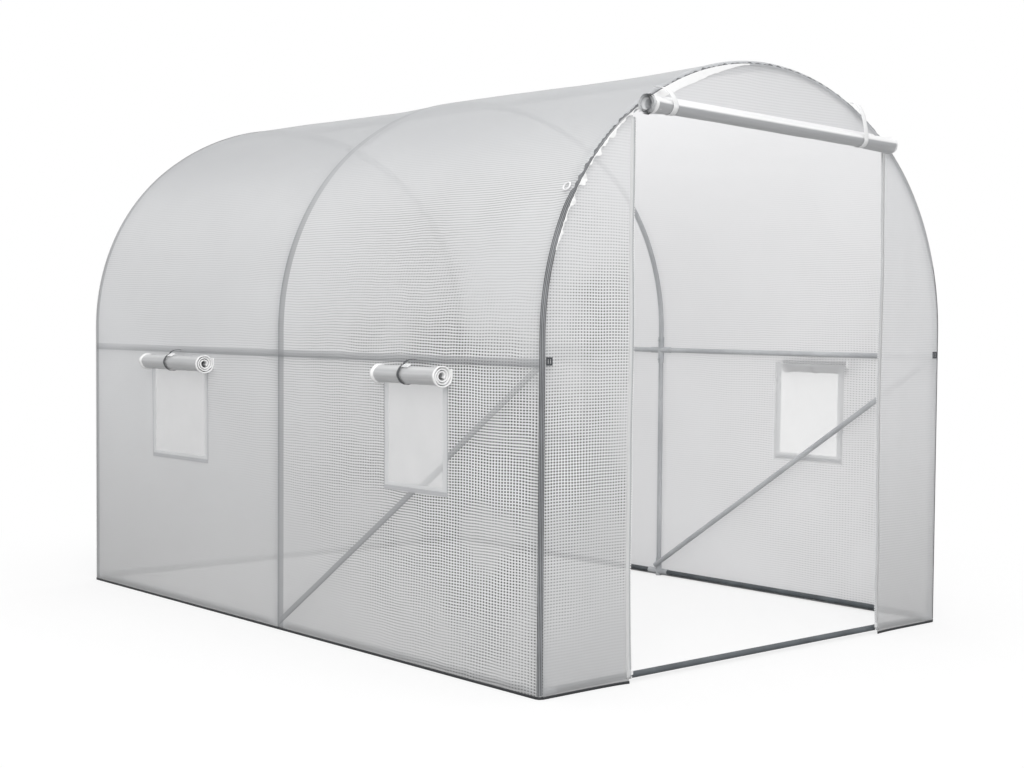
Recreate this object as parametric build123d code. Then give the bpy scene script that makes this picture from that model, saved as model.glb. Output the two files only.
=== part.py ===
from build123d import *
import math
import os

# Walk-in polytunnel greenhouse, in millimetres.
#
# Three tube hoops stand in a row along Y. Base rails, side rails at waist height and a ridge
# pole join them, and a brace stiffens the front bay on each side. A fabric cover lies over the
# frame. The door end faces -Y, where the door cloth is rolled up above its opening. Two windows
# in each side wall are netted, with their flaps rolled up and tied.
# The origin is on the ground, under the middle of the whole outer box.

# ---- Hoops ----
TUNNEL_LENGTH = 3000.0        # first hoop to last hoop, centre to centre
HALF_WIDTH = 1050.0           # middle of the tunnel to the middle of a post
APEX_HEIGHT = 2100.0          # ground to the middle of the tube at the crown
RAIL_HEIGHT = 1060.0          # ground to the middle of the side rails
SPRING_ABOVE_RAIL = 90.0      # straight length of tube between side rail and arch
SHOULDER_ANGLE = 53.13        # where shoulder arc meets crown arc, degrees above level

# ---- Tubes and fittings ----
TUBE_DIAMETER = 22.0
TUBE_WALL = 1.2
FITTING_WALL = 2.0
FITTING_ARM = 60.0            # length of a fitting's arm from the point where tubes meet
FIT_CLEARANCE = 0.3           # radial gap between a tube and what sits round or beside it
FOOT_THICKNESS = 3.0          # closed bottom of a base fitting
BASE_RAIL_HEIGHT = 20.0       # ground to the middle of the base rails
BRACE_FOOT_HEIGHT = 50.0      # ground to the brace's lower end
BRACE_HEAD_DROP = 10.0        # side rail down to the brace's upper end
SEAM_TURN = 45.0              # turns a round bar's seam away from where others cross it

# ---- Cover ----
COVER_THICKNESS = 2.0

# ---- Door ----
DOOR_WIDTH = 1350.0
DOOR_CORNER_MARGIN = 35.0     # cover left between a door corner and the arch above it
DOOR_ROLL_DIAMETER = 84.0
DOOR_ROLL_INSET = 22.0        # each end of the roll inside the edge of the opening
DOOR_ROLL_RISE = 21.0         # top edge of the opening up to the middle of the roll
DOOR_ROLL_DROP = 40.0         # how much lower the roll is tied at its right end
LEFT_STRAP_SETBACK = 120.0    # edge of the opening to the middle of a strap
RIGHT_STRAP_SETBACK = 205.0
ZIP_WIDTH = 30.0
ZIP_THICKNESS = 1.5
ZIP_END_GAP = 15.0            # clear of the ground below

# ---- Windows, the same in both side walls ----
WINDOW_SILL_HEIGHT = 605.0
WINDOW_TOP_DROP = 55.0        # side rail down to the top edge of a window
FRONT_WINDOW_WIDTH = 350.0
FRONT_WINDOW_SETBACK = 635.0  # first hoop to the middle of the window
FRONT_ROLL_LENGTH = 360.0
FRONT_ROLL_SHIFT = 25.0       # middle of the window to the middle of the roll, towards the door
REAR_WINDOW_WIDTH = 450.0
REAR_WINDOW_SETBACK = 750.0   # last hoop to the middle of the window
REAR_ROLL_LENGTH = 480.0
REAR_ROLL_SHIFT = 40.0
WINDOW_ROLL_DIAMETER = 76.0
WINDOW_ROLL_RISE = 6.0        # top edge of a window up to the middle of its roll
WINDOW_STRAP_SHARE = 0.45     # place of the strap along a roll, from its rear end
NET_THICKNESS = 1.0
NET_MARGIN = 12.0             # net past the opening, where it is sewn on

# ---- Straps and buckles ----
STRAP_THICKNESS = 1.5
DOOR_STRAP_WIDTH = 25.0
WINDOW_STRAP_WIDTH = 12.0
BUCKLE_SIZE = 26.0
BUCKLE_THICKNESS = 4.0
BUCKLE_CORNER = 4.0
BUCKLE_INSET = 16.0           # from the post's middle towards the door
BUCKLE_RISE = 10.0            # above the side rail

# ---- What follows from them ----
tube_radius = TUBE_DIAMETER / 2
bore_radius = tube_radius + FIT_CLEARANCE
fitting_radius = bore_radius + FITTING_WALL
end_gap = tube_radius + FIT_CLEARANCE            # post's middle to a rail's end
cover_inner = fitting_radius + FIT_CLEARANCE     # tube's middle to the cover
cover_outer = cover_inner + COVER_THICKNESS
spring_height = RAIL_HEIGHT + SPRING_ABOVE_RAIL
door_roll_radius = DOOR_ROLL_DIAMETER / 2
window_roll_radius = WINDOW_ROLL_DIAMETER / 2

# The box reaches past the front cover by the rolled door and its strap, so the hoops stand
# back from the middle by half of that.
door_reach = 2 * FIT_CLEARANCE + DOOR_ROLL_DIAMETER + STRAP_THICKNESS
front_y = (door_reach - TUNNEL_LENGTH) / 2
rear_y = front_y + TUNNEL_LENGTH
middle_y = (front_y + rear_y) / 2
HOOPS = {"front": front_y, "middle": middle_y, "rear": rear_y}
SIDES = {"left": -1, "right": 1}
cover_front_y = front_y - cover_inner            # inner face of the front cover
cover_rear_y = rear_y + cover_inner

# Three arcs make the arch: a shoulder at each side and a flatter crown between them. They meet
# without a corner at SHOULDER_ANGLE, which fixes their radii.
arch_rise = APEX_HEIGHT - spring_height
shoulder_cos = math.cos(math.radians(SHOULDER_ANGLE))
shoulder_sin = math.sin(math.radians(SHOULDER_ANGLE))
radius_step = (HALF_WIDTH - arch_rise) / (shoulder_cos + shoulder_sin - 1)
shoulder_radius = HALF_WIDTH - radius_step * shoulder_cos
crown_radius = shoulder_radius + radius_step
shoulder_x = HALF_WIDTH - shoulder_radius
crown_z = APEX_HEIGHT - crown_radius


def crown_height(x, offset):
    """Height of the arch at x, for a line this far outside the tube's middle."""
    radius = crown_radius + offset
    tangent_x = radius * shoulder_cos
    if abs(x) <= tangent_x:
        return crown_z + math.sqrt(radius ** 2 - x ** 2)
    radius = shoulder_radius + offset
    return spring_height + math.sqrt(radius ** 2 - (abs(x) - shoulder_x) ** 2)


door_half = DOOR_WIDTH / 2
door_top = crown_height(door_half, cover_outer) - DOOR_CORNER_MARGIN
door_roll_z = door_top + DOOR_ROLL_RISE
door_roll_reach = door_half - DOOR_ROLL_INSET
DOOR_STRAP_X = {"left": LEFT_STRAP_SETBACK - door_half, "right": door_half - RIGHT_STRAP_SETBACK}
window_top = RAIL_HEIGHT - WINDOW_TOP_DROP
window_roll_z = window_top + WINDOW_ROLL_RISE
front_window_y = front_y + FRONT_WINDOW_SETBACK
rear_window_y = rear_y - REAR_WINDOW_SETBACK
WINDOWS = {
    "front": (front_window_y, FRONT_WINDOW_WIDTH),
    "rear": (rear_window_y, REAR_WINDOW_WIDTH),
}
ROLLS = {
    "front": (front_window_y - FRONT_ROLL_SHIFT, FRONT_ROLL_LENGTH),
    "rear": (rear_window_y - REAR_ROLL_SHIFT, REAR_ROLL_LENGTH),
}


def across(y):
    """An upright plane across the tunnel at y, its normal towards the door end."""
    return Plane(origin=(0, y, 0), x_dir=(1, 0, 0), z_dir=(0, -1, 0))


def arch_edges(offset):
    """Right-hand shoulder and crown arcs from spring line to apex, in the plane of a hoop."""
    shoulder = CenterArc((shoulder_x, spring_height), shoulder_radius + offset, 0, SHOULDER_ANGLE)
    crown = CenterArc((0, crown_z), crown_radius + offset, SHOULDER_ANGLE, 90 - SHOULDER_ANGLE)
    return [shoulder, crown]


def half_end_face(offset):
    """Right half of the tunnel's end, from the ground up to the arch."""
    half = HALF_WIDTH + offset
    apex = APEX_HEIGHT + offset
    edges = arch_edges(offset)
    edges.append(Line((half, 0), (half, spring_height)))
    edges.append(Line((0, apex), (0, 0)))
    edges.append(Line((0, 0), (half, 0)))
    return make_face(edges)


def end_face(offset):
    right = half_end_face(offset)
    return right + mirror(right, about=Plane.YZ)


def on_side(shape, sign):
    """The shape as drawn for the right side, or its mirror image for the left."""
    if sign < 0:
        return mirror(shape, about=Plane.YZ)
    return shape


def block(low, high):
    """A box between two opposite corners."""
    size = [b - a for a, b in zip(low, high)]
    centre = [(a + b) / 2 for a, b in zip(low, high)]
    return Pos(*centre) * Box(*size)


def rod(start, end, radius):
    along = Vector(*end) - Vector(*start)
    circle = Rot(0, 0, SEAM_TURN) * Circle(radius)
    return extrude(Plane(origin=start, z_dir=along) * circle, amount=along.length)


def tube(start, end):
    """A straight frame tube from one end's middle to the other's."""
    inner_radius = tube_radius - TUBE_WALL
    along = Vector(*end) - Vector(*start)
    ring = Circle(tube_radius) - Circle(inner_radius)
    return extrude(Plane(origin=start, z_dir=along) * ring, amount=along.length)


# ---- Frame ----
def post(y, sign):
    return tube((sign * HALF_WIDTH, y, FOOT_THICKNESS), (sign * HALF_WIDTH, y, RAIL_HEIGHT))


def half_arch(y, sign):
    """Bent tube from the side rail's fitting up to the ridge."""
    straight = Line((HALF_WIDTH, RAIL_HEIGHT), (HALF_WIDTH, spring_height))
    path = across(y) * Wire([straight] + arch_edges(0))
    ring = Circle(tube_radius) - Circle(tube_radius - TUBE_WALL)
    start = Plane(origin=path @ 0, z_dir=path % 0)
    return on_side(sweep(start * ring, path=path), sign)


def tubes_between_hoops(x, z):
    """One straight tube in each bay, ending beside the hoops' tubes."""
    bays = [(front_y, middle_y), (middle_y, rear_y)]
    return Compound([tube((x, a + end_gap, z), (x, b - end_gap, z)) for a, b in bays])


def end_base_rail(y):
    reach = HALF_WIDTH - end_gap
    return tube((-reach, y, BASE_RAIL_HEIGHT), (reach, y, BASE_RAIL_HEIGHT))


def brace(sign):
    """Diagonal of the front bay, lapped on the inner side of the fittings at both ends."""
    x = sign * (HALF_WIDTH - fitting_radius - FIT_CLEARANCE - tube_radius)
    foot = (x, middle_y, BRACE_FOOT_HEIGHT)
    head = (x, front_y, RAIL_HEIGHT - BRACE_HEAD_DROP)
    return tube(foot, head)


def arms(centre, directions):
    """Sleeves and their bores, one along each direction from the point where tubes meet."""
    x, y, z = centre
    ends = [(x + dx * FITTING_ARM, y + dy * FITTING_ARM, z + dz * FITTING_ARM)
            for dx, dy, dz in directions]
    sleeves = [rod(centre, end, fitting_radius) for end in ends]
    bores = [rod(centre, end, bore_radius) for end in ends]
    return sleeves, bores


def along_tunnel(hoop):
    """Directions from a hoop to its neighbours."""
    return {"front": [(0, 1, 0)], "middle": [(0, -1, 0), (0, 1, 0)], "rear": [(0, -1, 0)]}[hoop]


def upright_fitting(x, y, low, high, floor, level, directions):
    """Sleeve round a post from low to high, its bore open above floor, with level arms."""
    sleeves, bores = arms((x, y, level), directions)
    shell = rod((x, y, low), (x, y, high), fitting_radius) + sleeves
    return shell - rod((x, y, floor), (x, y, high), bore_radius) - bores


def base_fitting(hoop, sign):
    """Foot of a post, with a flat closed bottom on the ground."""
    directions = along_tunnel(hoop)
    if hoop != "middle":
        directions.append((-sign, 0, 0))
    top = BASE_RAIL_HEIGHT + FITTING_ARM
    return upright_fitting(
        sign * HALF_WIDTH, HOOPS[hoop], 0, top, FOOT_THICKNESS, BASE_RAIL_HEIGHT, directions)


def rail_fitting(hoop, sign):
    low = RAIL_HEIGHT - FITTING_ARM
    high = RAIL_HEIGHT + FITTING_ARM
    return upright_fitting(
        sign * HALF_WIDTH, HOOPS[hoop], low, high, low, RAIL_HEIGHT, along_tunnel(hoop))


def ridge_fitting(hoop):
    """Sleeve over the joint of two half arches, with arms for the ridge pole."""
    y = HOOPS[hoop]
    half_angle = math.degrees(FITTING_ARM / crown_radius)
    path = across(y) * CenterArc((0, crown_z), crown_radius, 90 - half_angle, 2 * half_angle)
    start = Plane(origin=path @ 0, z_dir=path % 0)
    sleeves, bores = arms((0, y, APEX_HEIGHT), along_tunnel(hoop))
    shell = sweep(start * Circle(fitting_radius), path=path) + sleeves
    return shell - sweep(start * Circle(bore_radius), path=path) - bores


# ---- Cover ----
def wall_cover(sign):
    """Flat side of the cover, from the ground to the spring line, with two windows cut out."""
    inner = HALF_WIDTH + cover_inner
    outer = HALF_WIDTH + cover_outer
    wall = block((inner, cover_front_y, 0), (outer, cover_rear_y, spring_height))
    for y, width in WINDOWS.values():
        low = (inner - 1, y - width / 2, WINDOW_SILL_HEIGHT)
        high = (outer + 1, y + width / 2, window_top)
        wall -= block(low, high)
    return on_side(wall, sign)


def roof_cover(sign):
    """Half of the curved roof, from the spring line to the ridge."""
    section = half_end_face(cover_outer) - half_end_face(cover_inner)
    reach = HALF_WIDTH + cover_outer
    section -= Pos(reach / 2, spring_height / 2) * Rectangle(reach + 2, spring_height)
    length = cover_rear_y - cover_front_y
    return on_side(extrude(across(cover_rear_y) * section, amount=length), sign)


def end_cover(y, face):
    """A flat end panel of the cover, its inner face at y for the front end."""
    return extrude(across(y) * face, amount=COVER_THICKNESS)


def front_side_cover(sign):
    """Cover between the door and the edge of the tunnel's front."""
    half = HALF_WIDTH + cover_outer
    beside_door = Pos((door_half + half) / 2, APEX_HEIGHT / 2)
    keep = beside_door * Rectangle(half - door_half, 2 * APEX_HEIGHT)
    panel = end_cover(cover_front_y, half_end_face(cover_outer) & keep)
    return on_side(panel, sign)


def front_top_cover():
    """Cover above the door."""
    over_door = Pos(0, door_top + APEX_HEIGHT / 2) * Rectangle(DOOR_WIDTH, APEX_HEIGHT)
    return end_cover(cover_front_y, end_face(cover_outer) & over_door)


def rear_cover():
    return end_cover(cover_rear_y + COVER_THICKNESS, end_face(cover_outer))


# ---- Door ----
def door_roll_middle(x):
    """Height of the rolled door's middle at x."""
    return door_roll_z - DOOR_ROLL_DROP / 2 * x / door_roll_reach


def door_roll():
    """Door cloth rolled up, lying against the cover above the opening."""
    y = cover_front_y - COVER_THICKNESS - FIT_CLEARANCE - door_roll_radius
    start, end = [(x, y, door_roll_middle(x)) for x in (-door_roll_reach, door_roll_reach)]
    return rod(start, end, door_roll_radius)


def strap_loop(foot, outward, along, roll_radius, width):
    """Webbing band from the wall, round a roll that lies along this direction, and back."""
    plane = Plane(origin=foot, x_dir=outward, z_dir=along)
    middle = roll_radius + FIT_CLEARANCE
    outer = middle + STRAP_THICKNESS
    band = Pos(middle, 0) * Circle(outer) + Pos(middle / 2, 0) * Rectangle(middle, 2 * outer)
    behind_wall = Pos(-outer / 2, 0) * Rectangle(outer, 2 * outer)
    round_roll = Pos(middle, 0) * Circle(middle) + Pos(middle / 2, 0) * Rectangle(middle, 2 * middle)
    return extrude(plane * (band - behind_wall - round_roll), amount=width / 2, both=True)


def door_straps():
    y = cover_front_y - COVER_THICKNESS
    along = (2 * door_roll_reach, 0, -DOOR_ROLL_DROP)
    return Compound([
        strap_loop((x, y, door_roll_middle(x)), (0, -1, 0), along, door_roll_radius, DOOR_STRAP_WIDTH)
        for x in DOOR_STRAP_X.values()
    ])


def door_zip(sign):
    """Zip tape sewn beside the opening, up to its top corner, clear of the roll's end."""
    y = cover_front_y - COVER_THICKNESS
    low = (door_half, y - ZIP_THICKNESS, ZIP_END_GAP)
    high = (door_half + ZIP_WIDTH, y, door_top)
    return on_side(block(low, high), sign)


def corner_buckles():
    """Square buckle on the front cover beside each corner post."""
    y = cover_front_y - COVER_THICKNESS
    plate = RectangleRounded(BUCKLE_SIZE, BUCKLE_SIZE, BUCKLE_CORNER)
    hole = Rectangle(BUCKLE_SIZE / 2, BUCKLE_SIZE / 2)
    place = Pos(HALF_WIDTH - BUCKLE_INSET, RAIL_HEIGHT + BUCKLE_RISE)
    buckle = extrude(across(y) * (place * (plate - hole)), amount=BUCKLE_THICKNESS)
    return Compound([on_side(buckle, sign) for sign in SIDES.values()])


# ---- Windows ----
def window_roll(window, sign):
    y, length = ROLLS[window]
    x = sign * (HALF_WIDTH + cover_outer + FIT_CLEARANCE + window_roll_radius)
    start = (x, y - length / 2, window_roll_z)
    end = (x, y + length / 2, window_roll_z)
    return rod(start, end, window_roll_radius)


def window_nets(sign):
    """Nets sewn behind the openings of one side wall."""
    outer = HALF_WIDTH + cover_inner
    nets = []
    for y, width in WINDOWS.values():
        reach = width / 2 + NET_MARGIN
        low = (outer - NET_THICKNESS, y - reach, WINDOW_SILL_HEIGHT - NET_MARGIN)
        high = (outer, y + reach, window_top + NET_MARGIN)
        nets.append(on_side(block(low, high), sign))
    return Compound(nets)


def window_straps():
    x = HALF_WIDTH + cover_outer
    straps = []
    for sign in SIDES.values():
        for y, length in ROLLS.values():
            strap_y = y + length * (0.5 - WINDOW_STRAP_SHARE)
            foot = (sign * x, strap_y, window_roll_z)
            straps.append(strap_loop(
                foot, (sign, 0, 0), (0, 1, 0), window_roll_radius, WINDOW_STRAP_WIDTH))
    return Compound(straps)


# ---- Every node ----
nodes = {}
for hoop, hoop_y in HOOPS.items():
    for side, sign in SIDES.items():
        nodes[f"{hoop}_{side}_post"] = post(hoop_y, sign)
        nodes[f"{hoop}_{side}_arch"] = half_arch(hoop_y, sign)
for side, sign in SIDES.items():
    nodes[f"{side}_side_rail"] = tubes_between_hoops(sign * HALF_WIDTH, RAIL_HEIGHT)
    nodes[f"{side}_base_rail"] = tubes_between_hoops(sign * HALF_WIDTH, BASE_RAIL_HEIGHT)
    nodes[f"{side}_brace"] = brace(sign)
    nodes[f"{side}_base_fittings"] = Compound([base_fitting(hoop, sign) for hoop in HOOPS])
    nodes[f"{side}_wall_cover"] = wall_cover(sign)
    nodes[f"{side}_roof_cover"] = roof_cover(sign)
    nodes[f"front_{side}_cover"] = front_side_cover(sign)
    nodes[f"door_{side}_zip"] = door_zip(sign)
    nodes[f"{side}_window_nets"] = window_nets(sign)
    for window in WINDOWS:
        nodes[f"{side}_{window}_window_roll"] = window_roll(window, sign)
nodes["ridge_pole"] = tubes_between_hoops(0, APEX_HEIGHT)
nodes["front_base_rail"] = end_base_rail(front_y)
nodes["rear_base_rail"] = end_base_rail(rear_y)
nodes["rail_fittings"] = Compound(
    [rail_fitting(hoop, sign) for hoop in HOOPS for sign in SIDES.values()])
nodes["ridge_fittings"] = Compound([ridge_fitting(hoop) for hoop in HOOPS])
nodes["front_top_cover"] = front_top_cover()
nodes["rear_cover"] = rear_cover()
nodes["door_roll"] = door_roll()
nodes["door_straps"] = door_straps()
nodes["window_straps"] = window_straps()
nodes["corner_buckles"] = corner_buckles()

os.makedirs("parts", exist_ok=True)
for name, shape in nodes.items():
    export_step(shape, f"parts/{name}.step")
print(len(nodes), "nodes written")
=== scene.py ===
# %% [markdown]
# # A walk-in polytunnel greenhouse
#
# The frame of tubes comes ready from the CAD model: hoops, rails, braces and fittings.
# What this lesson adds is everything soft: one big sheet of woven plastic pulled over the
# hoops, the two end sheets, the rolled door and window flaps, nets, hems, zips and ties.
# Sheets are cut flat first and then laid over the frame, as the maker of the cover does.

# %% Load the frame
import math

import bmesh
import bpy
from mathutils import Matrix, Vector, noise
from mathutils.geometry import interpolate_bezier


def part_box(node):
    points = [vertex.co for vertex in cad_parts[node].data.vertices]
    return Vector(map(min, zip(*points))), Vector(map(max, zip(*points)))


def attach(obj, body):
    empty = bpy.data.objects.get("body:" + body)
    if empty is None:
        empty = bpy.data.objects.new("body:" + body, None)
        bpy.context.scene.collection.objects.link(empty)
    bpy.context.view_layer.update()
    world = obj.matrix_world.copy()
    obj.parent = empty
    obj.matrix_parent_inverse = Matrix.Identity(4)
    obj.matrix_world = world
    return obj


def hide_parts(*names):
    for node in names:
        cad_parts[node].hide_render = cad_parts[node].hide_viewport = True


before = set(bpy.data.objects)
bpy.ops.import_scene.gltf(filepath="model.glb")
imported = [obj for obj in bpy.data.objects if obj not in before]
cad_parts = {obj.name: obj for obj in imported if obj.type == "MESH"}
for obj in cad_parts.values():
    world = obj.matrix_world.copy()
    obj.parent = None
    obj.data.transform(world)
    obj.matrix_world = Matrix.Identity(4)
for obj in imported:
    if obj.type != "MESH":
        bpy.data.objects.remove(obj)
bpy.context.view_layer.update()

# %% [markdown]
# ## Sizes from the frame
#
# Nothing here is guessed twice: each length is read from the CAD pieces. The arch is made of
# three arcs, a shoulder at each side and a flatter crown, so two radii and the height where
# the straight sides end describe it. Lengths are in metres.

# %% Measure the CAD pieces
SHOULDER_ANGLE = math.radians(53.13)     # how far a shoulder's arc turns before the crown's begins
NET_MARGIN = 0.012                       # a net reaches this far past its window, all round


def low(node):
    return Vector(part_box(node)[0])


def high(node):
    return Vector(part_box(node)[1])


def middle(node):
    return (low(node) + high(node)) / 2


hoop_y = [middle(f"{hoop}_left_post").y for hoop in ("front", "middle", "rear")]
half_width = middle("front_right_post").x
tube_radius = (high("front_right_post").x - low("front_right_post").x) / 2
rail_z = middle("right_side_rail").z
spring_z = high("right_wall_cover").z
cloth_gap = middle("right_wall_cover").x - half_width
apex_z = high("right_roof_cover").z - (high("right_wall_cover").x - half_width)
front_y = middle("front_top_cover").y
rear_y = middle("rear_cover").y
door_half = low("front_right_cover").x
door_top = low("front_top_cover").z
rise = apex_z - spring_z
arc_step = (half_width - rise) / (math.cos(SHOULDER_ANGLE) + math.sin(SHOULDER_ANGLE) - 1)
shoulder_radius = half_width - arc_step * math.cos(SHOULDER_ANGLE)
crown_radius = shoulder_radius + arc_step
shoulder_x = half_width - shoulder_radius
crown_z = apex_z - crown_radius
print(f"hoops at {[round(y, 3) for y in hoop_y]}, shoulder {shoulder_radius:.3f}, crown {crown_radius:.3f}")

# %% [markdown]
# ## Windows and rolls
#
# Each side wall has two windows. Their net is one CAD node with a small margin all round, so
# it gives the top, the sill and the outer edges of the pair. A rolled flap is a rod in the CAD
# model: `roll_from` reads its middle, radius, length and slope, and `on_roll` turns a distance
# along it, away from the wall and upwards into a place, for everything that goes round it.

# %% Find the four windows and the five rolls
WINDOW_WIDTH = {"front": 0.35, "rear": 0.45}


def window_at(side, place):
    nets, half = f"{side}_window_nets", WINDOW_WIDTH[place] / 2
    y = low(nets).y + NET_MARGIN + half if place == "front" else high(nets).y - NET_MARGIN - half
    return {"name": f"{side}_{place}", "side": -1 if side == "left" else 1, "nets": nets,
            "width": 2 * half, "span": (y - half, y + half),
            "sill": low(nets).z + NET_MARGIN, "top": high(nets).z - NET_MARGIN}


def roll_from(node, level, out):
    """level is the level way along the roll, out is away from the wall."""
    size = high(node) - low(node)
    radius = abs(size.dot(out)) / 2
    along = level * abs(size.dot(level)) - Vector((0, 0, size.z - 2 * radius))
    return {"node": node, "middle": middle(node), "radius": radius, "half": along.length / 2,
            "along": along.normalized(), "out": out}


def on_roll(roll, t, u, v):
    return roll["middle"] + roll["along"] * t + roll["out"] * u + Vector((0, 0, v))


windows = [window_at(side, place) for side in ("left", "right") for place in ("front", "rear")]
for window in windows:
    window["roll"] = roll_from(f"{window['name']}_window_roll", Vector((0, 1, 0)),
                               Vector((window["side"], 0, 0)))
    print(window["name"], f"{window['width']:.3f} wide, roll {2 * window['roll']['half']:.3f} long")
door_roll = roll_from("door_roll", Vector((1, 0, 0)), Vector((0, -1, 0)))
print(f"door roll {2 * door_roll['half']:.3f} long")

# %% [markdown]
# ## The line that the cloth follows
#
# Laid flat, the body of the cover is a rectangle: one way along the tunnel, the other way
# round the hoops. `round_the_hoop` turns a distance from the ridge, measured along the cloth,
# into a place on the arch. Bending a flat grid with it keeps the cloth's real size, which
# stretching a ready tube would not.

# %% Turn a distance along the cloth into a place on the arch
crown_part = (crown_radius + cloth_gap) * (math.pi / 2 - SHOULDER_ANGLE)
shoulder_part = (shoulder_radius + cloth_gap) * SHOULDER_ANGLE
half_girth = crown_part + shoulder_part + spring_z
rail_reach = half_girth - rail_z


def round_the_hoop(reach, gap):
    """Place (x, z) at this signed distance from the ridge and gap from the tube's middle."""
    sign = -1 if reach < 0 else 1
    s = abs(reach)
    if s <= crown_part:
        angle = math.pi / 2 - s / (crown_radius + cloth_gap)
        centre, radius = (0, crown_z), crown_radius + gap
    elif s <= crown_part + shoulder_part:
        angle = SHOULDER_ANGLE - (s - crown_part) / (shoulder_radius + cloth_gap)
        centre, radius = (shoulder_x, spring_z), shoulder_radius + gap
    else:
        return sign * (half_width + gap), spring_z - (s - crown_part - shoulder_part)
    return sign * (centre[0] + radius * math.cos(angle)), centre[1] + radius * math.sin(angle)


def ramp(value, start, end):
    """0 up to start, 1 from end on, and a straight line between."""
    return min(1.0, max(0.0, (value - start) / (end - start)))


def height_to_reach(z, side=1):
    """Distance from the ridge of a height on a straight side wall."""
    return side * (half_girth - z)


def reach_to_height(reach):
    return round_the_hoop(reach, cloth_gap)[1]


print(f"cloth round the hoops: {2 * half_girth:.3f} m, along: {rear_y - front_y:.3f} m")

# %% [markdown]
# ## Round the corners
#
# At each end hoop the cloth turns round the tube before it meets the end sheet, so the corner
# is as round as the tube. The same function carries on over the end's face, which lets a hem
# be cut as one flat strip and laid from the roof, round the hoop and down the face.

# %% Lay flat cloth over the hoops and round the end corners
corner_turn = cloth_gap * math.pi / 2
front_edge, rear_edge = hoop_y[0] - corner_turn, hoop_y[2] + corner_turn


def over_the_hoops(along, reach, lift):
    near = min(max(along, hoop_y[0]), hoop_y[2])
    past = abs(along - near)
    turn = min(past, corner_turn) / cloth_gap
    inward = max(0.0, past - corner_turn)
    y = near + (-1 if along < near else 1) * (cloth_gap + lift) * math.sin(turn)
    x, z = round_the_hoop(reach, (cloth_gap + lift) * math.cos(turn) - inward)
    return x, y, z


print(f"{corner_turn * 1000:.0f} mm of cloth goes round the tube at each end")

# %% [markdown]
# ## How the cloth hangs between the hoops
#
# A plastic cover is tight over the tubes and slack between them. Each bay sags a little,
# most of all halfway between the ridge pole and the side rail, and long shallow creases run
# from hoop to hoop. A cloth simulation would find the same shape slowly, so the sag is a sine
# in each bay and the creases are smooth noise, stretched along the tunnel.

# %% Sag and creases of the body of the cover
ROOF_SAG = 0.015         # depth of the lowest place of a bay's roof
WALL_SAG = 0.004         # and of its wall
CREASE = 0.0045          # height of the creases of the roof


def bay_share(along, lean=1.0):
    """0 at a hoop, 1 where a bay hangs lowest. A lean over 1 moves that place forward."""
    for a, b in zip(hoop_y, hoop_y[1:]):
        if a <= along <= b:
            return math.sin(math.pi * ((b - along) / (b - a)) ** lean)
    return 0.0


def cover_slack(along, reach):
    """How far the cloth lies inside its tight place."""
    bay = bay_share(along)
    s = abs(reach)
    if s < rail_reach:
        sag = ROOF_SAG * math.sin(math.pi * s / rail_reach) ** 0.6 * bay_share(along, 2.0) ** 0.8
    else:
        sag = WALL_SAG * math.sin(math.pi * min(1.0, (s - rail_reach) / rail_z)) * bay ** 0.7
    crease = noise.noise(Vector((along * 1.7, reach * 7.0, 3.1)))
    crease += 0.5 * noise.noise(Vector((along * 4.0 + reach * 2.0, reach * 13.0, 8.7)))
    roof = 0.3 + 0.7 * max(0.0, 1 - (s / rail_reach) ** 4)
    return sag + CREASE * crease * roof * bay


def lay_cloth(bm, lift):
    """Bends flat cloth over the frame. lift is a height, or a function of the flat place."""
    for vert in bm.verts:
        along, reach = vert.co.x, vert.co.y
        height = lift(along, reach) if callable(lift) else lift
        vert.co = over_the_hoops(along, reach, height + vert.co.z - cover_slack(along, reach))


print(f"slack in mid roof: {cover_slack((hoop_y[0] + hoop_y[1]) / 2, rail_reach / 2) * 1000:.0f} mm")

# %% [markdown]
# ## Helpers for cut cloth
#
# `cut_cloth` makes the flat grid. An opening needs straight sides, so the nearest grid line is
# moved onto each of its edges before the faces inside it are deleted: that keeps every face
# a neat quad, where a knife cut would leave slivers that shade badly. The flat place is kept
# as a UV map in metres, so the weave in the material follows the cloth wherever it is bent.

# %% Cut flat cloth and finish a piece
def cut_cloth(x_range, y_range, spacing, spacing_y=None):
    size = Vector((x_range[1] - x_range[0], y_range[1] - y_range[0], 1))
    centre = Vector(((x_range[0] + x_range[1]) / 2, (y_range[0] + y_range[1]) / 2, 0))
    bm = bmesh.new()
    bmesh.ops.create_grid(
        bm, x_segments=max(1, round(size.x / spacing)),
        y_segments=max(1, round(size.y / (spacing_y or spacing))),
        size=0.5, matrix=Matrix.Translation(centre) @ Matrix.Diagonal((*size, 1)))
    return bm


def snap_line(bm, axis, value):
    nearest = min((abs(vert.co[axis] - value), vert.co[axis]) for vert in bm.verts)[1]
    for vert in bm.verts:
        if abs(vert.co[axis] - nearest) < 1e-5:
            vert.co[axis] = value


def cut_hole(bm, x_range, y_range):
    for axis, values in enumerate((x_range, y_range)):
        for value in values:
            snap_line(bm, axis, value)
    inside = []
    for face in bm.faces:
        centre = face.calc_center_median()
        if x_range[0] < centre.x < x_range[1] and y_range[0] < centre.y < y_range[1]:
            inside.append(face)
    bmesh.ops.delete(bm, geom=inside, context="FACES")


def keep_flat_place(bm):
    """Writes each corner's flat place in metres into the UV map called cloth."""
    layer = bm.loops.layers.uv.new("cloth")
    for face in bm.faces:
        for loop in face.loops:
            loop[layer].uv = (loop.vert.co.x, loop.vert.co.y)


def join_part(bm, part):
    """Adds a finished part to a piece that is made of several."""
    mesh = bpy.data.meshes.new("part")
    part.to_mesh(mesh)
    part.free()
    bm.from_mesh(mesh)
    bpy.data.meshes.remove(mesh)


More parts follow.
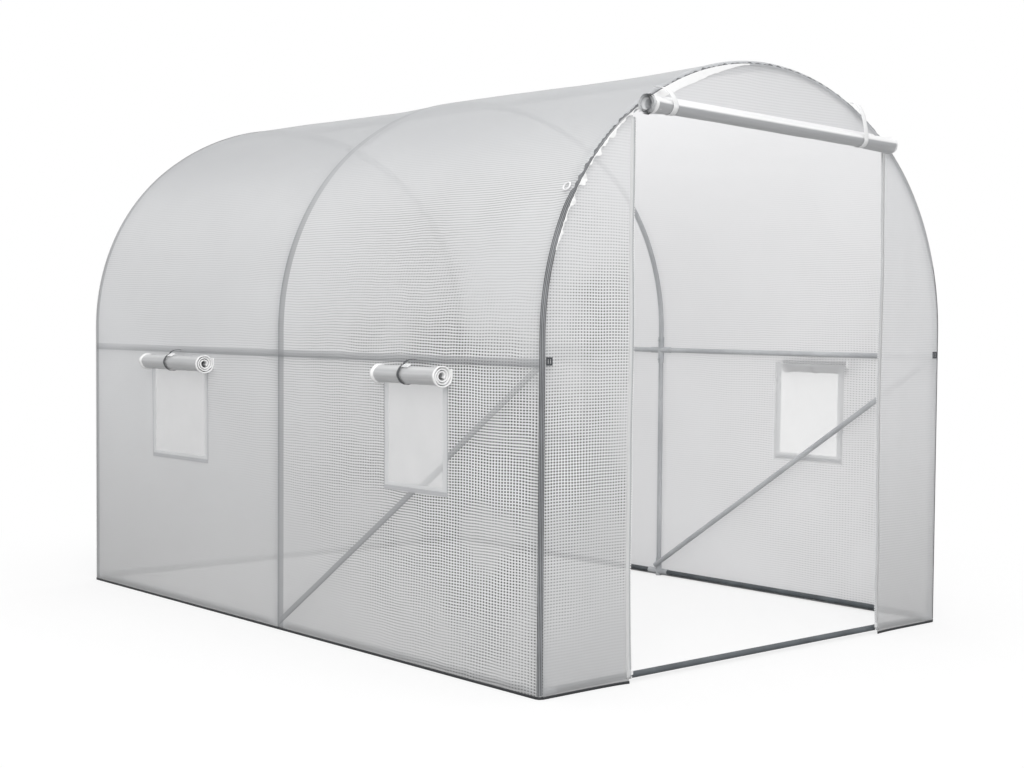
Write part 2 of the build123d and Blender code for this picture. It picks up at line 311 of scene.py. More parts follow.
def finish(bm, name, material, replaces=(), smooth=True, thickness=0.0, edging=None):
    """thickness is for hems and tapes, whose edges show. Faces of material 1 take the edging."""
    for face in bm.faces:
        face.smooth = smooth
    mesh = bpy.data.meshes.new(name)
    bm.to_mesh(mesh)
    bm.free()
    piece = bpy.data.objects.new(name, mesh)
    bpy.context.scene.collection.objects.link(piece)
    mesh.materials.append(material)
    if edging:
        mesh.materials.append(edging)
    if thickness:
        wall = piece.modifiers.new("thickness", "SOLIDIFY")
        wall.thickness = thickness
        wall.offset = 1.0
    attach(piece, "root")
    if replaces:
        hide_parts(*replaces)
    print(f"{name}: {len(mesh.polygons)} faces")
    return piece


print("cloth tools ready")

# %% [markdown]
# ## Colours and nodes
#
# Colours are written as the sRGB hex values that a colour picker shows, and one function
# turns them to the linear values that a shader needs. `add` puts one node into a tree with
# its settings and links, so that each material below reads as a short list.

# %% Small tools for materials
WAVE_TURN = 2 * math.pi / 20      # a Wave texture repeats every WAVE_TURN / Scale metres


def colour(hex_code):
    values = [int(hex_code[i:i + 2], 16) / 255 for i in (1, 3, 5)]
    linear = [v / 12.92 if v <= 0.04045 else ((v + 0.055) / 1.055) ** 2.4 for v in values]
    return (*linear, 1.0)


def new_material(name):
    material = bpy.data.materials.new(name)
    material.use_nodes = True
    tree = material.node_tree
    tree.nodes.clear()
    return material, tree


def add(tree, kind, settings=None, **inputs):
    """Adds a node and returns its first output. An input is a value or another output."""
    node = tree.nodes.new(kind)
    for key, value in (settings or {}).items():
        if key == "stops":
            while len(node.color_ramp.elements) < len(value):
                node.color_ramp.elements.new(0.5)
            for element, (place, hex_code) in zip(node.color_ramp.elements, value):
                element.position, element.color = place, colour(hex_code)
        else:
            setattr(node, key, value)
    for key, value in inputs.items():
        socket = node.inputs[int(key[1:])] if key[1:].isdigit() else node.inputs[key.replace("_", " ")]
        if isinstance(value, bpy.types.NodeSocket):
            tree.links.new(value, socket)
        else:
            socket.default_value = value
    shown = [out for out in node.outputs if out.enabled]
    return shown[0] if shown else node


print("grey of #808080:", round(colour("#808080")[0], 3))

# %% [markdown]
# ## Changes over the object
#
# The cloth does not look the same everywhere: its grid is bold near the front corner and dull
# under the crown. Each such change is a ramp along some direction, so `faded` takes a list of
# them, (direction, from, to, low, high), measures the place on the object along each direction
# with a dot product, and multiplies a value by the ramps. Places are in metres.

# %% Fade a value over the object
ALONG, ACROSS, UP = (0, 1, 0), (1, 0, 0), (0, 0, 1)


def faded(tree, value, place, ramps, smooth=True):
    for direction, start, end, at_start, at_end in ramps:
        reach = add(tree, "ShaderNodeVectorMath", {"operation": "DOT_PRODUCT"}, _0=place,
                    _1=direction).node.outputs["Value"]
        share = add(tree, "ShaderNodeMapRange", {"interpolation_type": "SMOOTHSTEP" if smooth else "LINEAR"},
                    Value=reach, From_Min=start, From_Max=end, To_Min=at_start, To_Max=at_end)
        value = add(tree, "ShaderNodeMath", {"operation": "MULTIPLY"}, _0=value, _1=share)
    return value


print("directions", ALONG, ACROSS, UP)

# %% [markdown]
# ## The weave
#
# The cover is flat tapes of polyethylene woven into a grid and coated on both sides with a
# clear film. Light comes through the small squares between the tapes, so they look darker
# than the tapes from outside. Two Wave textures on the flat cloth's own place, one each way,
# make the grid, and their slight crookedness is the slack of the tapes. Multiplied they give
# squares, and the rows alone give lines: noise patches choose between the two. A real tape
# is 2 to 3 mm wide, too fine to show from here, so the rows are drawn 9.8 mm apart and the
# columns, which are seen at a steep angle, 12 to 15 mm.

# %% Rows and columns of tapes
GRID_PITCH = 0.0098      # metres between the rows of the weave
LINE_LEVEL = 0.46        # how dark the rows are where they show as lines
COLUMN_GAIN = 1.7        # how dark the squares are beside that


def weave_strength(tree, place, fades):
    """How strong the grid is here: patches half a metre wide and the changes over the object."""
    patches = add(tree, "ShaderNodeTexNoise", {}, Vector=place, Scale=1.7, Detail=3.0)
    strength = add(tree, "ShaderNodeMapRange", {"interpolation_type": "SMOOTHSTEP"}, Value=patches,
                   From_Min=0.36, From_Max=0.60, To_Min=0.45, To_Max=1.0)
    return faded(tree, strength, place, fades)


def weave_gaps(tree, place, strength, columns_apart, dots, dotted, slack):
    """1 in the gaps between the tapes, 0 on them. dotted is the noise range of the squares."""
    flat = add(tree, "ShaderNodeUVMap", {"uv_map": "cloth"})
    rows = add(tree, "ShaderNodeTexWave", {"bands_direction": "Y"}, Vector=flat,
               Scale=WAVE_TURN / GRID_PITCH, Distortion=slack, Detail=2.0,
               Detail_Scale=0.12).node.outputs["Fac"]
    columns = add(tree, "ShaderNodeTexWave", {"bands_direction": "X"}, Vector=flat,
                  Scale=WAVE_TURN / columns_apart, Distortion=1.4, Detail=1.0,
                  Detail_Scale=0.1).node.outputs["Fac"]
    spots = add(tree, "ShaderNodeTexNoise", {}, Vector=place, Scale=4.5, Detail=2.0)
    squares = add(tree, "ShaderNodeMapRange", {"interpolation_type": "SMOOTHSTEP"}, Value=spots,
                  From_Min=dotted[0], From_Max=dotted[1], To_Min=0.12, To_Max=1.0)
    squares = add(tree, "ShaderNodeMath", {"operation": "MULTIPLY"}, _0=squares, _1=strength)
    squares = faded(tree, squares, place, dots)
    columns = add(tree, "ShaderNodeMath", {"operation": "POWER"}, _0=columns, _1=2.0)
    columns = add(tree, "ShaderNodeMath", {"operation": "MULTIPLY"}, _0=columns, _1=COLUMN_GAIN)
    lines = add(tree, "ShaderNodeMix", {"data_type": "FLOAT"}, _0=squares, _2=LINE_LEVEL, _3=columns)
    rows = add(tree, "ShaderNodeMath", {"operation": "POWER"}, _0=rows, _1=1.6)
    return add(tree, "ShaderNodeMath", {"operation": "MULTIPLY"}, _0=rows, _1=lines)


print(f"rows of the weave {GRID_PITCH * 1000:.1f} mm apart")

# %% [markdown]
# ## Cloth tone, painted shade and tubes behind it
#
# The film is milky white with slow clouds. The lowest part of the walls is darker towards the
# ground, and painted shade darkens the crown and the foot of the ends. Both reach only the outer
# face: the inner one stays white, and Backfacing tells which face it is. Where a tube lies close
# behind the cloth, painted shade and the tube's painted grey show from outside, darkest at one
# edge of the tube, so each tube is a band painted by the distance from its line.

# %% Tone of the film and bands over the tubes
def film_tone(tree, place, inside, outside, light, dark, painted_shade):
    # Clouds are about a metre across.
    cloud = add(tree, "ShaderNodeTexNoise", {}, Vector=place, Scale=0.9, Detail=3.0)
    tone = add(tree, "ShaderNodeValToRGB", {"stops": [(0.3, dark), (0.7, light)]}, Fac=cloud)
    # Darker towards the ground; the inner face is set to white just below.
    low_darkening = faded(tree, 1.0, place, [(UP, 1.15, 0.0, 0.0, 0.75)])
    tone = add(tree, "ShaderNodeMix", {"data_type": "RGBA"}, _0=low_darkening, _6=tone, _7=colour("#D6D6D6"))
    tone = add(tree, "ShaderNodeMix", {"data_type": "RGBA"}, _0=inside, _6=tone, _7=colour("#F4F4F5"))
    # Painted shade: where its ramp reaches, the outer face is darkened towards #A8AAAD.
    if painted_shade:
        shaded = faded(tree, outside, place, [painted_shade])
        tone = add(tree, "ShaderNodeMix", {"data_type": "RGBA"}, _0=shaded, _6=tone, _7=colour("#A8AAAD"))
    return tone


def painted_tube_shade(tree, place, outside, tone, band):
    """band is (direction, distance, half width, strength, limits): painted shade where a tube is behind."""
    direction, distance, half, strongest, limits = band
    reach = add(tree, "ShaderNodeVectorMath", {"operation": "DOT_PRODUCT"}, _0=place,
                _1=direction).node.outputs["Value"]
    offset = add(tree, "ShaderNodeMath", {"operation": "SUBTRACT"}, _0=reach, _1=distance)
    offset = add(tree, "ShaderNodeMath", {"operation": "DIVIDE"}, _0=offset, _1=half)
    aside = add(tree, "ShaderNodeMath", {"operation": "ABSOLUTE"}, _0=offset)
    # touch is how strong the painted shade is: full over the tube, fading just past its edges.
    touch = add(tree, "ShaderNodeMapRange", {}, Value=aside, From_Min=0.92, From_Max=1.12,
                To_Min=strongest, To_Max=0.0)
    touch = add(tree, "ShaderNodeMath", {"operation": "MULTIPLY"}, _0=touch, _1=outside)
    ends = [(limit, start, end, 1.0, beyond) for limit, start, end, beyond in limits]
    touch = faded(tree, touch, place, ends, smooth=False)
    # The painted colour is the tube's grey seen through the cloth, darkest at one edge: painted shade.
    across = add(tree, "ShaderNodeMapRange", {}, Value=offset, From_Min=-1.0, From_Max=1.0)
    behind = add(tree, "ShaderNodeValToRGB", {"stops": [
        (0.0, "#B4B5B7"), (0.6, "#B0B1B3"), (0.85, "#9C9EA1"), (1.0, "#8A8C90")]}, Fac=across)
    return add(tree, "ShaderNodeMix", {"data_type": "RGBA"}, _0=touch, _6=tone, _7=behind)


print("a band of cloth over each tube")

# %% [markdown]
# ## Woven polyethylene sheet
#
# Coated woven polyethylene is waxy and translucent. A Translucent shader passes the daylight
# from inside, a small Transparent share shows the tubes close behind, and a Principled shader
# with the IOR of plastic gives the waxy gloss. The tapes stand a little proud and the film
# has soft dents, which is the bump. Where the grid is bold its tapes are whiter too, so the
# cloth as a whole keeps its tone.

# %% Woven polyethylene
INSIDE_WEAVE = 0.55      # how much of the grid shows on the inner face, where light falls on it


def woven_sheet(name, clear, fades, bands=(), light="#EFF0F1", dark="#E4E5E7", columns_apart=GRID_PITCH,
                bold=1.0, dots=(), dotted=(0.36, 0.54), slack=3.6, painted_shade=None, glow=0.5, roughness=0.42):
    """fades and dots are ramps for the grid's strength and its squares; the ramp of painted shade
    darkens the outer face. dotted is how wide the patches of squares are, slack how crooked the rows."""
    material, tree = new_material(name)
    place = add(tree, "ShaderNodeTexCoord", {}).node.outputs["Object"]
    inside = add(tree, "ShaderNodeNewGeometry", {}).node.outputs["Backfacing"]
    outside = add(tree, "ShaderNodeMath", {"operation": "SUBTRACT"}, _0=1.0, _1=inside)
    strength = weave_strength(tree, place, fades)
    weave = weave_gaps(tree, place, strength, columns_apart, dots, dotted, slack)
    shown = add(tree, "ShaderNodeMapRange", {}, Value=outside, To_Min=INSIDE_WEAVE, To_Max=1.0)
    strength = add(tree, "ShaderNodeMath", {"operation": "MULTIPLY"}, _0=strength, _1=shown)
    share = add(tree, "ShaderNodeMath", {"operation": "MULTIPLY"}, _0=strength, _1=bold)
    share = add(tree, "ShaderNodeMath", {"operation": "MULTIPLY", "use_clamp": True}, _0=weave, _1=share)
    tone = film_tone(tree, place, inside, outside, light, dark, painted_shade)
    tapes = add(tree, "ShaderNodeMix", {"data_type": "RGBA"}, _0=strength, _6=tone, _7=colour("#FDFDFD"))
    tone = add(tree, "ShaderNodeMix", {"data_type": "RGBA"}, _0=share, _6=tapes, _7=colour("#26292D"))
    for band in bands:
        tone = painted_tube_shade(tree, place, outside, tone, band)
    bump = add(tree, "ShaderNodeBump", {"invert": True}, Strength=0.3, Distance=0.0005, Height=weave)
    # Dents are about 70 mm across.
    dents = add(tree, "ShaderNodeTexNoise", {}, Vector=place, Scale=14.0, Detail=4.0, Distortion=0.8)
    film = add(tree, "ShaderNodeBump", {}, Strength=0.3, Distance=0.004, Height=dents, Normal=bump)
    out = add(tree, "ShaderNodeBsdfPrincipled", {}, Base_Color=tone, Roughness=roughness, IOR=1.5,
              Normal=film)
    lit = add(tree, "ShaderNodeBsdfTranslucent", {}, Color=tone, Normal=film)
    out = add(tree, "ShaderNodeMixShader", {}, Fac=glow, _1=out, _2=lit)
    if clear:
        gap = add(tree, "ShaderNodeBsdfTransparent", {})
        out = add(tree, "ShaderNodeMixShader", {}, Fac=clear, _1=out, _2=gap)
    add(tree, "ShaderNodeOutputMaterial", {}, Surface=out)
    return material


print("woven_sheet ready")

# %% [markdown]
# ## Where the tubes lie behind the cloth
#
# The painted shade bands of the hoops lie a little forward of their tubes and the brace's foot a
# little low, because the cloth stands off the tubes and is mostly seen at a slant from the front.
# The rail's band ends softly behind the middle hoop, and the brace's band stops at the rail.
# A roll's underside gets the same kind of band: light hardly reaches it, between roll and wall.

# %% Bands of the tubes and the rolls
BAND = 0.019            # half the width of the strip of cloth that is darkened by a hoop
HOOP_SHIFT = {"middle": 0.024, "rear": 0.006}
BRACE_SHIFT = (0.012, 0.020)      # forward and down, at its foot
CROWN_FADE = (UP, 1.45, 1.95)     # over the shoulder a hoop shows less


def brace_line():
    """The brace's upright plane as a direction and a distance, in the side wall's own plane."""
    foot = Vector((0, high("left_brace").y - tube_radius - BRACE_SHIFT[0],
                   low("left_brace").z + tube_radius - BRACE_SHIFT[1]))
    head = Vector((0, low("left_brace").y + tube_radius, high("left_brace").z - tube_radius))
    run = (head - foot).normalized()
    across = Vector((0, -run.z, run.y))
    return tuple(across), across.dot(foot)


# Painted shade bands of the hoops, the rail, the ridge pole and the brace behind the cloth.
painted_tube_shades = [
    (ALONG, hoop_y[1] - HOOP_SHIFT["middle"], BAND, 0.75, [(*CROWN_FADE, 0.4)]),
    (ALONG, hoop_y[2] - HOOP_SHIFT["rear"], BAND, 0.6, [(*CROWN_FADE, 0.5)]),
    ((0, 0, -1), -rail_z - 0.004, 0.0135, 0.62, [(ALONG, 0.5, 1.3, 0.5)]),
    (ACROSS, 0.0, tube_radius, 0.2, []),
    (*brace_line(), tube_radius, 0.85, [
        (UP, rail_z - 0.01, rail_z, 0.0), (ALONG, 0.02, 0.03, 0.0), (UP, 0.70, 0.95, 0.5)])]


def roll_shade(roll, top, bottom, strength):
    """A band over the part of a roll that faces down, from this far above its axis to this far below."""
    up = Vector((0, 0, 1)) - roll["along"] * roll["along"].z
    up.normalize()
    return (tuple(up), up.dot(roll["middle"]) + (top + bottom) / 2, (top - bottom) / 2, strength, [])


print(f"{len(painted_tube_shades)} bands behind the cloth")

# %% [markdown]
# ## The four woven cloths
#
# The body, the ends, the door and the window flaps are the same cloth in different light: the
# body is the boldest, the ends are clearer, and on the rolls the grid hardly shows, because
# many layers lie behind it. The window flaps are painted greyer than the door, as painted shade.
# A band of painted shade makes the sheet over the door a little darker than the panels beside
# it. The door's inner layers are left out of the light, so it has little glow.

# %% Body, ends, rolled door and rolled windows
# Painted shade darkens the body's crown and the lower left of the ends.
body_sheet = woven_sheet(
    "woven_polyethylene_body", 0.07,
    [(ALONG, -1.1, 0.35, 1.0, 0.28), (UP, 1.06, 1.3, 1.0, 0.65), (UP, 1.5, 1.85, 1.0, 0.12),
     ((0, -0.6, 1), 0.32, 0.66, 0.05, 1.0), (ACROSS, -1.0, 1.0, 1.0, 0.5)],
    painted_tube_shades, light="#F2F3F4", dark="#E8E9EA", columns_apart=0.015, bold=1.7, slack=6.5,
    dots=[(ALONG, -1.2, -0.85, 1.0, 0.4), (UP, 1.0, 1.2, 1.0, 0.5), (UP, 1.35, 1.5, 1.0, 0.1)],
    painted_shade=(UP, 1.55, 1.98, 0.0, 0.5))
# A band of painted shade darkens the end sheet above the door.
shade_above_door = (UP, 2.06, 0.22, 0.16, [])
end_sheet = woven_sheet(
    "woven_polyethylene_ends", 0.12,
    [(ACROSS, -0.98, -0.68, 1.0, 0.6), (ACROSS, 0.3, 0.8, 1.0, 0.2), (UP, 0.05, 0.45, 0.12, 1.0),
     (UP, 1.2, 1.7, 1.0, 0.2), (ALONG, 0.0, 1.0, 1.0, 0.7)],
    [shade_above_door], light="#F6F6F7", dark="#ECEDEE", columns_apart=0.0125, bold=1.7, dotted=(0.26, 0.42),
    painted_shade=((0.45, 0, 1), 0.70, -0.19, 0.05, 0.36))
FAINT = [(UP, 0, 3, 0.15, 0.15)]      # a grid that hardly shows, at any height
rolled_sheet = woven_sheet(
    "woven_polyethylene_rolled_door", 0.0, FAINT, [roll_shade(door_roll, 0.005, -0.060, 0.8)],
    light="#F6F6F6", dark="#EEEEEF", glow=0.1, roughness=0.3)
# The window rolls are painted greyer than the door roll of the same cloth: painted shade.
rolled_window = woven_sheet(
    "woven_polyethylene_rolled_window", 0.0, FAINT, [roll_shade(windows[0]["roll"], 0.016, -0.040, 0.28)],
    light="#CFCFD0", dark="#C6C7C8", glow=0.1, roughness=0.4)
print("woven cloths:", [m.name for m in (body_sheet, end_sheet, rolled_sheet, rolled_window)])

# %% [markdown]
# ## Hems, nets and tapes
#
# Hems are the same film folded double and welded, so they are whiter, glossier and show less
# of the grid. The window net is knitted from fine white thread: a small Transparent share
# between its threads. Webbing and zip tape are woven polyester with a fine rib.

# %% Welded hems, net, webbing, zip tape
def ribbed_cloth(name, light, dark, ribs, direction, clear=0.0, roughness=0.5, glow=0.0):
    """Cloth with fine ribs this far apart in metres, across or along its flat place. Stains are
    about a hand wide, and glow is the share of light that passes through."""
    material, tree = new_material(name)
    flat = add(tree, "ShaderNodeUVMap", {"uv_map": "cloth"})
    place = add(tree, "ShaderNodeTexCoord", {}).node.outputs["Object"]
    rib = add(tree, "ShaderNodeTexWave", {"bands_direction": direction}, Vector=flat,
              Scale=WAVE_TURN / ribs, Distortion=0.4, Detail=1.0).node.outputs["Fac"]
    stain = add(tree, "ShaderNodeTexNoise", {}, Vector=place, Scale=9.0, Detail=4.0)
    mixed = add(tree, "ShaderNodeMath", {"operation": "MULTIPLY_ADD"}, _0=stain, _1=0.5, _2=0.0)
    mixed = add(tree, "ShaderNodeMath", {"operation": "MULTIPLY_ADD"}, _0=rib, _1=0.55, _2=mixed)
    tone = add(tree, "ShaderNodeValToRGB", {"stops": [(0.2, dark), (0.75, light)]}, Fac=mixed)
    bump = add(tree, "ShaderNodeBump", {}, Strength=0.4, Distance=0.0005, Height=rib)
    out = add(tree, "ShaderNodeBsdfPrincipled", {}, Base_Color=tone, Roughness=roughness, IOR=1.5,
              Normal=bump)
    if glow:
        lit = add(tree, "ShaderNodeBsdfTranslucent", {}, Color=tone, Normal=bump)
        out = add(tree, "ShaderNodeMixShader", {}, Fac=glow, _1=out, _2=lit)
    if clear:
        gap = add(tree, "ShaderNodeBsdfTransparent", {})
        out = add(tree, "ShaderNodeMixShader", {}, Fac=clear, _1=out, _2=gap)
    add(tree, "ShaderNodeOutputMaterial", {}, Surface=out)
    return material


def crumpled_film(name):
    """Doubled clear-coated film: no grid shows, only sharp little creases, about 45 mm apart, that
    catch the light."""
    material, tree = new_material(name)
    place = add(tree, "ShaderNodeTexCoord", {}).node.outputs["Object"]
    creases = add(tree, "ShaderNodeTexNoise", {"noise_type": "RIDGED_MULTIFRACTAL"}, Vector=place,
                  Scale=22.0, Detail=5.0, Distortion=1.2)
    tone = add(tree, "ShaderNodeValToRGB", {"stops": [(0.1, "#F4F4F4"), (0.9, "#FDFDFD")]}, Fac=creases)
    bump = add(tree, "ShaderNodeBump", {}, Strength=0.45, Distance=0.003, Height=creases)
    body = add(tree, "ShaderNodeBsdfPrincipled", {}, Base_Color=tone, Roughness=0.24, IOR=1.5,
               Normal=bump)
    add(tree, "ShaderNodeOutputMaterial", {}, Surface=body)
    return material


hem_film = crumpled_film("welded_hem_film")
# Stitched grey tape with dark holes between the stitches, and a plain dark one along the ground.
corner_tape = ribbed_cloth("corner_seam_tape", "#8E9093", "#1E2023", 0.0052, "X", roughness=0.4)
ground_tape = ribbed_cloth("ground_edge_tape", "#3A3C3F", "#1E2022", 0.004, "X")
# The net's threads are 1 to 2 mm apart, too fine to show, so they are drawn 4 mm apart.
window_net = ribbed_cloth("knitted_window_net", "#FDFDFD", "#EEEFEF", 0.004, "X", clear=0.4,
                          roughness=0.6, glow=0.5)
# Welded film is smooth and glossy. At the sill and the weld lines it is double and greyer.
hem_soft = ribbed_cloth("welded_window_hem", "#EDEEEF", "#E2E3E4", 0.006, "X", roughness=0.35, glow=0.45)
hem_sill = ribbed_cloth("welded_window_sill", "#CDCED0", "#BFC0C3", 0.006, "Y", roughness=0.35, glow=0.3)
# Ribs of webbing are 1 mm apart, too fine to show, so they are drawn 3 mm apart.
white_webbing = ribbed_cloth("woven_polyester_webbing", "#F6F6F6", "#D8D9DA", 0.003, "Y")
tie_webbing = ribbed_cloth("dark_tie_tape", "#5A5C5F", "#333538", 0.003, "Y")
# A grey strip of the zip tape beside the teeth: their painted shadow.
zip_teeth_shadow = ribbed_cloth("zip_teeth_shadow", "#C9CBCC", "#B7B9BB", 0.003, "X")
zip_tape = ribbed_cloth("zip_tape", "#F6F6F6", "#ECEDED", 0.003, "X", glow=0.5)
# The cut edges of the inner turns are rough and painted grey, painted shade between the close
# layers, and their grey changes slowly from turn to turn.
shaded_cut_edges = ribbed_cloth("rolled_cloth_edges_painted_shade", "#E4E5E6", "#B9BBBD", 0.62, "Y", roughness=0.6)
print("hems, net and tapes ready")

# %% [markdown]
# ## Powder-coated tube and moulded plastic
#
# The frame is steel tube with a baked powder coat. The powder leaves a fine orange peel and
# dulls where fingers and fittings have rubbed it, so roughness varies along the tube. The
# fittings and buckles are injection moulded, with faint flow marks and a spark-eroded grain.

# %% Powder coat and plastic
def hard_finish(name, light, dark, roughness, grain, depth, metal=False):
    """grain is how far apart the bumps of the surface are and depth how high, in metres."""
    material, tree = new_material(name)
    place = add(tree, "ShaderNodeTexCoord", {}).node.outputs["Object"]
    # Rubbed places are about 140 mm across.
    stain = add(tree, "ShaderNodeTexNoise", {}, Vector=place, Scale=7.0, Detail=5.0)
    tone = add(tree, "ShaderNodeValToRGB", {"stops": [(0.35, dark), (0.65, light)]}, Fac=stain)
    rough = add(tree, "ShaderNodeMapRange", {}, Value=stain, To_Min=roughness - 0.1,
                To_Max=roughness + 0.1)
    peel = add(tree, "ShaderNodeTexNoise", {}, Vector=place, Scale=1 / grain, Detail=2.0)
    bump = add(tree, "ShaderNodeBump", {}, Strength=0.25, Distance=depth, Height=peel)
    kind = {"Metallic": 1.0} if metal else {"IOR": 1.5}
    body = add(tree, "ShaderNodeBsdfPrincipled", {}, Base_Color=tone, Roughness=rough, Normal=bump,
               **kind)
    add(tree, "ShaderNodeOutputMaterial", {}, Surface=body)
    return material


# The orange peel of powder coat is 1.2 mm apart, the grain of a mould 0.8 mm. The base tubes
# are a darker grey, the fittings as pale as the tubes, and zinc is bright and metallic.
tube_coat = hard_finish("powder_coated_steel", "#C6C8CA", "#B2B4B7", 0.4, 0.0012, 0.0002)
base_coat = hard_finish("powder_coated_base_tube", "#5E6468", "#4A4F53", 0.4, 0.0012, 0.0002)
fitting_plastic = hard_finish("moulded_fitting_plastic", "#C6C8CA", "#B0B3B6", 0.45, 0.0008, 0.0001)
buckle_plastic = hard_finish("moulded_buckle_plastic", "#4A4D52", "#33363A", 0.35, 0.0008, 0.0001)
white_plastic = hard_finish("moulded_white_plastic", "#F4F4F4", "#DDDEDF", 0.35, 0.0008, 0.0001)
zip_teeth = hard_finish("moulded_zip_teeth", "#F2F2F2", "#DCDDDE", 0.35, 0.0008, 0.0001)
bolt_zinc = hard_finish("zinc_plated_bolt", "#D4D6D8", "#B4B7BA", 0.35, 0.0006, 0.0001, metal=True)

for node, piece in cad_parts.items():
    finish_of_node = None
    if "base_rail" in node:
        finish_of_node = base_coat
    elif node.endswith(("post", "arch", "rail", "brace", "pole")):
        finish_of_node = tube_coat
    elif node.endswith("fittings"):
        finish_of_node = fitting_plastic
    if finish_of_node:
        for slot in piece.material_slots:
            slot.material = finish_of_node
        print(node, "takes", finish_of_node.name)

# %% [markdown]
# ## The body of the cover
#
# One sheet goes over all three hoops, from the ground on one side to the ground on the
# other. The four window openings are cut out while it is still flat, as the real ones are: in
# a bent sheet they would need a boolean, which leaves long thin faces round each opening.

# %% Cut and lay the body of the cover
CLOTH_SPACING = 0.02


def body_cover():
    bm = cut_cloth((front_edge, rear_edge), (-half_girth, half_girth), CLOTH_SPACING)
    for turn in (0.25, 0.5, 0.75, 1.0):      # extra lines where the cloth goes round the tube
        for y in (front_edge + corner_turn * turn, rear_edge - corner_turn * turn):
            bmesh.ops.bisect_plane(bm, geom=bm.verts[:] + bm.edges[:] + bm.faces[:],
                                   dist=1e-4, plane_co=(y, 0, 0), plane_no=(1, 0, 0))
    for window in windows:
        reaches = sorted(height_to_reach(window[key], window["side"]) for key in ("sill", "top"))
        cut_hole(bm, window["span"], reaches)
    keep_flat_place(bm)
    lay_cloth(bm, 0.0)
    bmesh.ops.reverse_faces(bm, faces=bm.faces[:])
    return finish(bm, "cover_body", body_sheet, [
        "left_wall_cover", "right_wall_cover", "left_roof_cover", "right_roof_cover"])


cover = body_cover()

# %% [markdown]
# ## The two ends
#
# An end sheet has the outline of the hoop. Its grid has upright lines that stop at the arch,
# closer together towards the steep sides, and level lines up to the top of the door. The
# free edges beside the door are not held by a tube, so they wave and curl a little. The front
# sheet loses the faces inside the doorway, and the rear one is plain.

# %% Shape an end sheet
def arch_height(x):
    """Height of the hoop's middle line over this x."""
    if abs(x) <= crown_radius * math.cos(SHOULDER_ANGLE):
        return crown_z + math.sqrt(crown_radius ** 2 - x ** 2)
    return spring_z + math.sqrt(max(0.0, shoulder_radius ** 2 - (abs(x) - shoulder_x) ** 2))


END_WAVE = 0.006         # height of the waves of an end sheet
EDGE_CURL = 0.010        # how far the free edges beside the door curl out at the ground


def end_wave(x, z, door):
    """How far an end sheet stands out of its plane."""
    edge = max(0.0, 1 - (x / half_width) ** 4) * math.sin(math.pi * min(1.0, z / arch_height(x)))
    wave = noise.noise(Vector((x * 5.0, z * 1.6, 20.0))) + 0.5 * noise.noise(Vector((x * 12, z * 4, 31.0)))
    out = END_WAVE * wave * min(1.0, 3 * edge)
    if door and z < door_top:
        free = math.exp(-max(0.0, abs(x) - door_half) / 0.06)
        out += free * (0.004 * noise.noise(Vector((x, z * 3.0, 5.0))) + EDGE_CURL * math.exp(-z / 0.1))
    return out


DOOR_CUT = 0.026        # the sheet is cut this far above the door, where the roll hides the edge
END_ROWS = 90


def end_cloth(name, plane, facing, door, replaced):
    rows = END_ROWS
    bm = cut_cloth((-1, 1), (0, 1), 1 / rows)
    cut_z = door_top + DOOR_CUT
    door_row = round(rows * cut_z / apex_z) / rows
    for vert in bm.verts:
        x = half_width * math.sin(vert.co.x * math.pi / 2)
        top, v = arch_height(x), vert.co.y
        sill = min(cut_z, top * cut_z / arch_height(door_half))
        z = sill * v / door_row if v < door_row + 1e-6 else (
            sill + (top - sill) * (v - door_row) / (1 - door_row))
        vert.co = (x, z, 0)
    if door:
        for x in (-door_half, door_half):
            snap_line(bm, 0, x)
        inside = [f for f in bm.faces if abs(f.calc_center_median().x) < door_half
                  and f.calc_center_median().y < cut_z]
        bmesh.ops.delete(bm, geom=inside, context="FACES")
    keep_flat_place(bm)
    for vert in bm.verts:
        x, z = vert.co.x, vert.co.y
        vert.co = (x, plane + facing * end_wave(x, z, door), z)
    bmesh.ops.recalc_face_normals(bm, faces=bm.faces[:])
    if bm.faces[0].normal.y * facing < 0:
        bmesh.ops.reverse_faces(bm, faces=bm.faces[:])
    return finish(bm, name, end_sheet, replaced)


front = end_cloth("cover_front", front_y, -1, True,
                  ["front_left_cover", "front_right_cover", "front_top_cover"])
rear = end_cloth("cover_rear", rear_y, 1, False, ["rear_cover"])

# %% [markdown]
# ## Corner tape and gathered front hem
#
# Up the front corner runs a stitched grey tape that covers the seam between the two sheets.
# It narrows over the shoulder, where the front sheet's hem is gathered: straight cloth on a
# curved line always puckers. The hem is a strip of its own, cut flat, laid on the face just
# inside the hoop and pushed out by fine noise. It is widest above the rolled door and lies
# smooth on the right. A table of widths along the arch is the pattern that it is cut to.

# %% Tapes and hems round the hoops
def strip_on_cover(name, along, reaches, spacing, lift, material, taper=None):
    """along runs from the edge that stays put to the edge that the taper moves."""
    bm = cut_cloth(sorted(along), reaches, spacing)
    keep_flat_place(bm)
    if taper:
        for vert in bm.verts:
            vert.co.x = along[0] + (vert.co.x - along[0]) * taper(vert.co.y)
    lay_cloth(bm, lift)
    bmesh.ops.reverse_faces(bm, faces=bm.faces[:])
    return finish(bm, name, material)


def from_table(table, value):
    """Reads a width between two entries (place, width) of a table."""
    for (a, width_a), (b, width_b) in zip(table, table[1:]):
        if value <= b:
            return width_a + (width_b - width_a) * ramp(value, a, b)
    return table[-1][1]


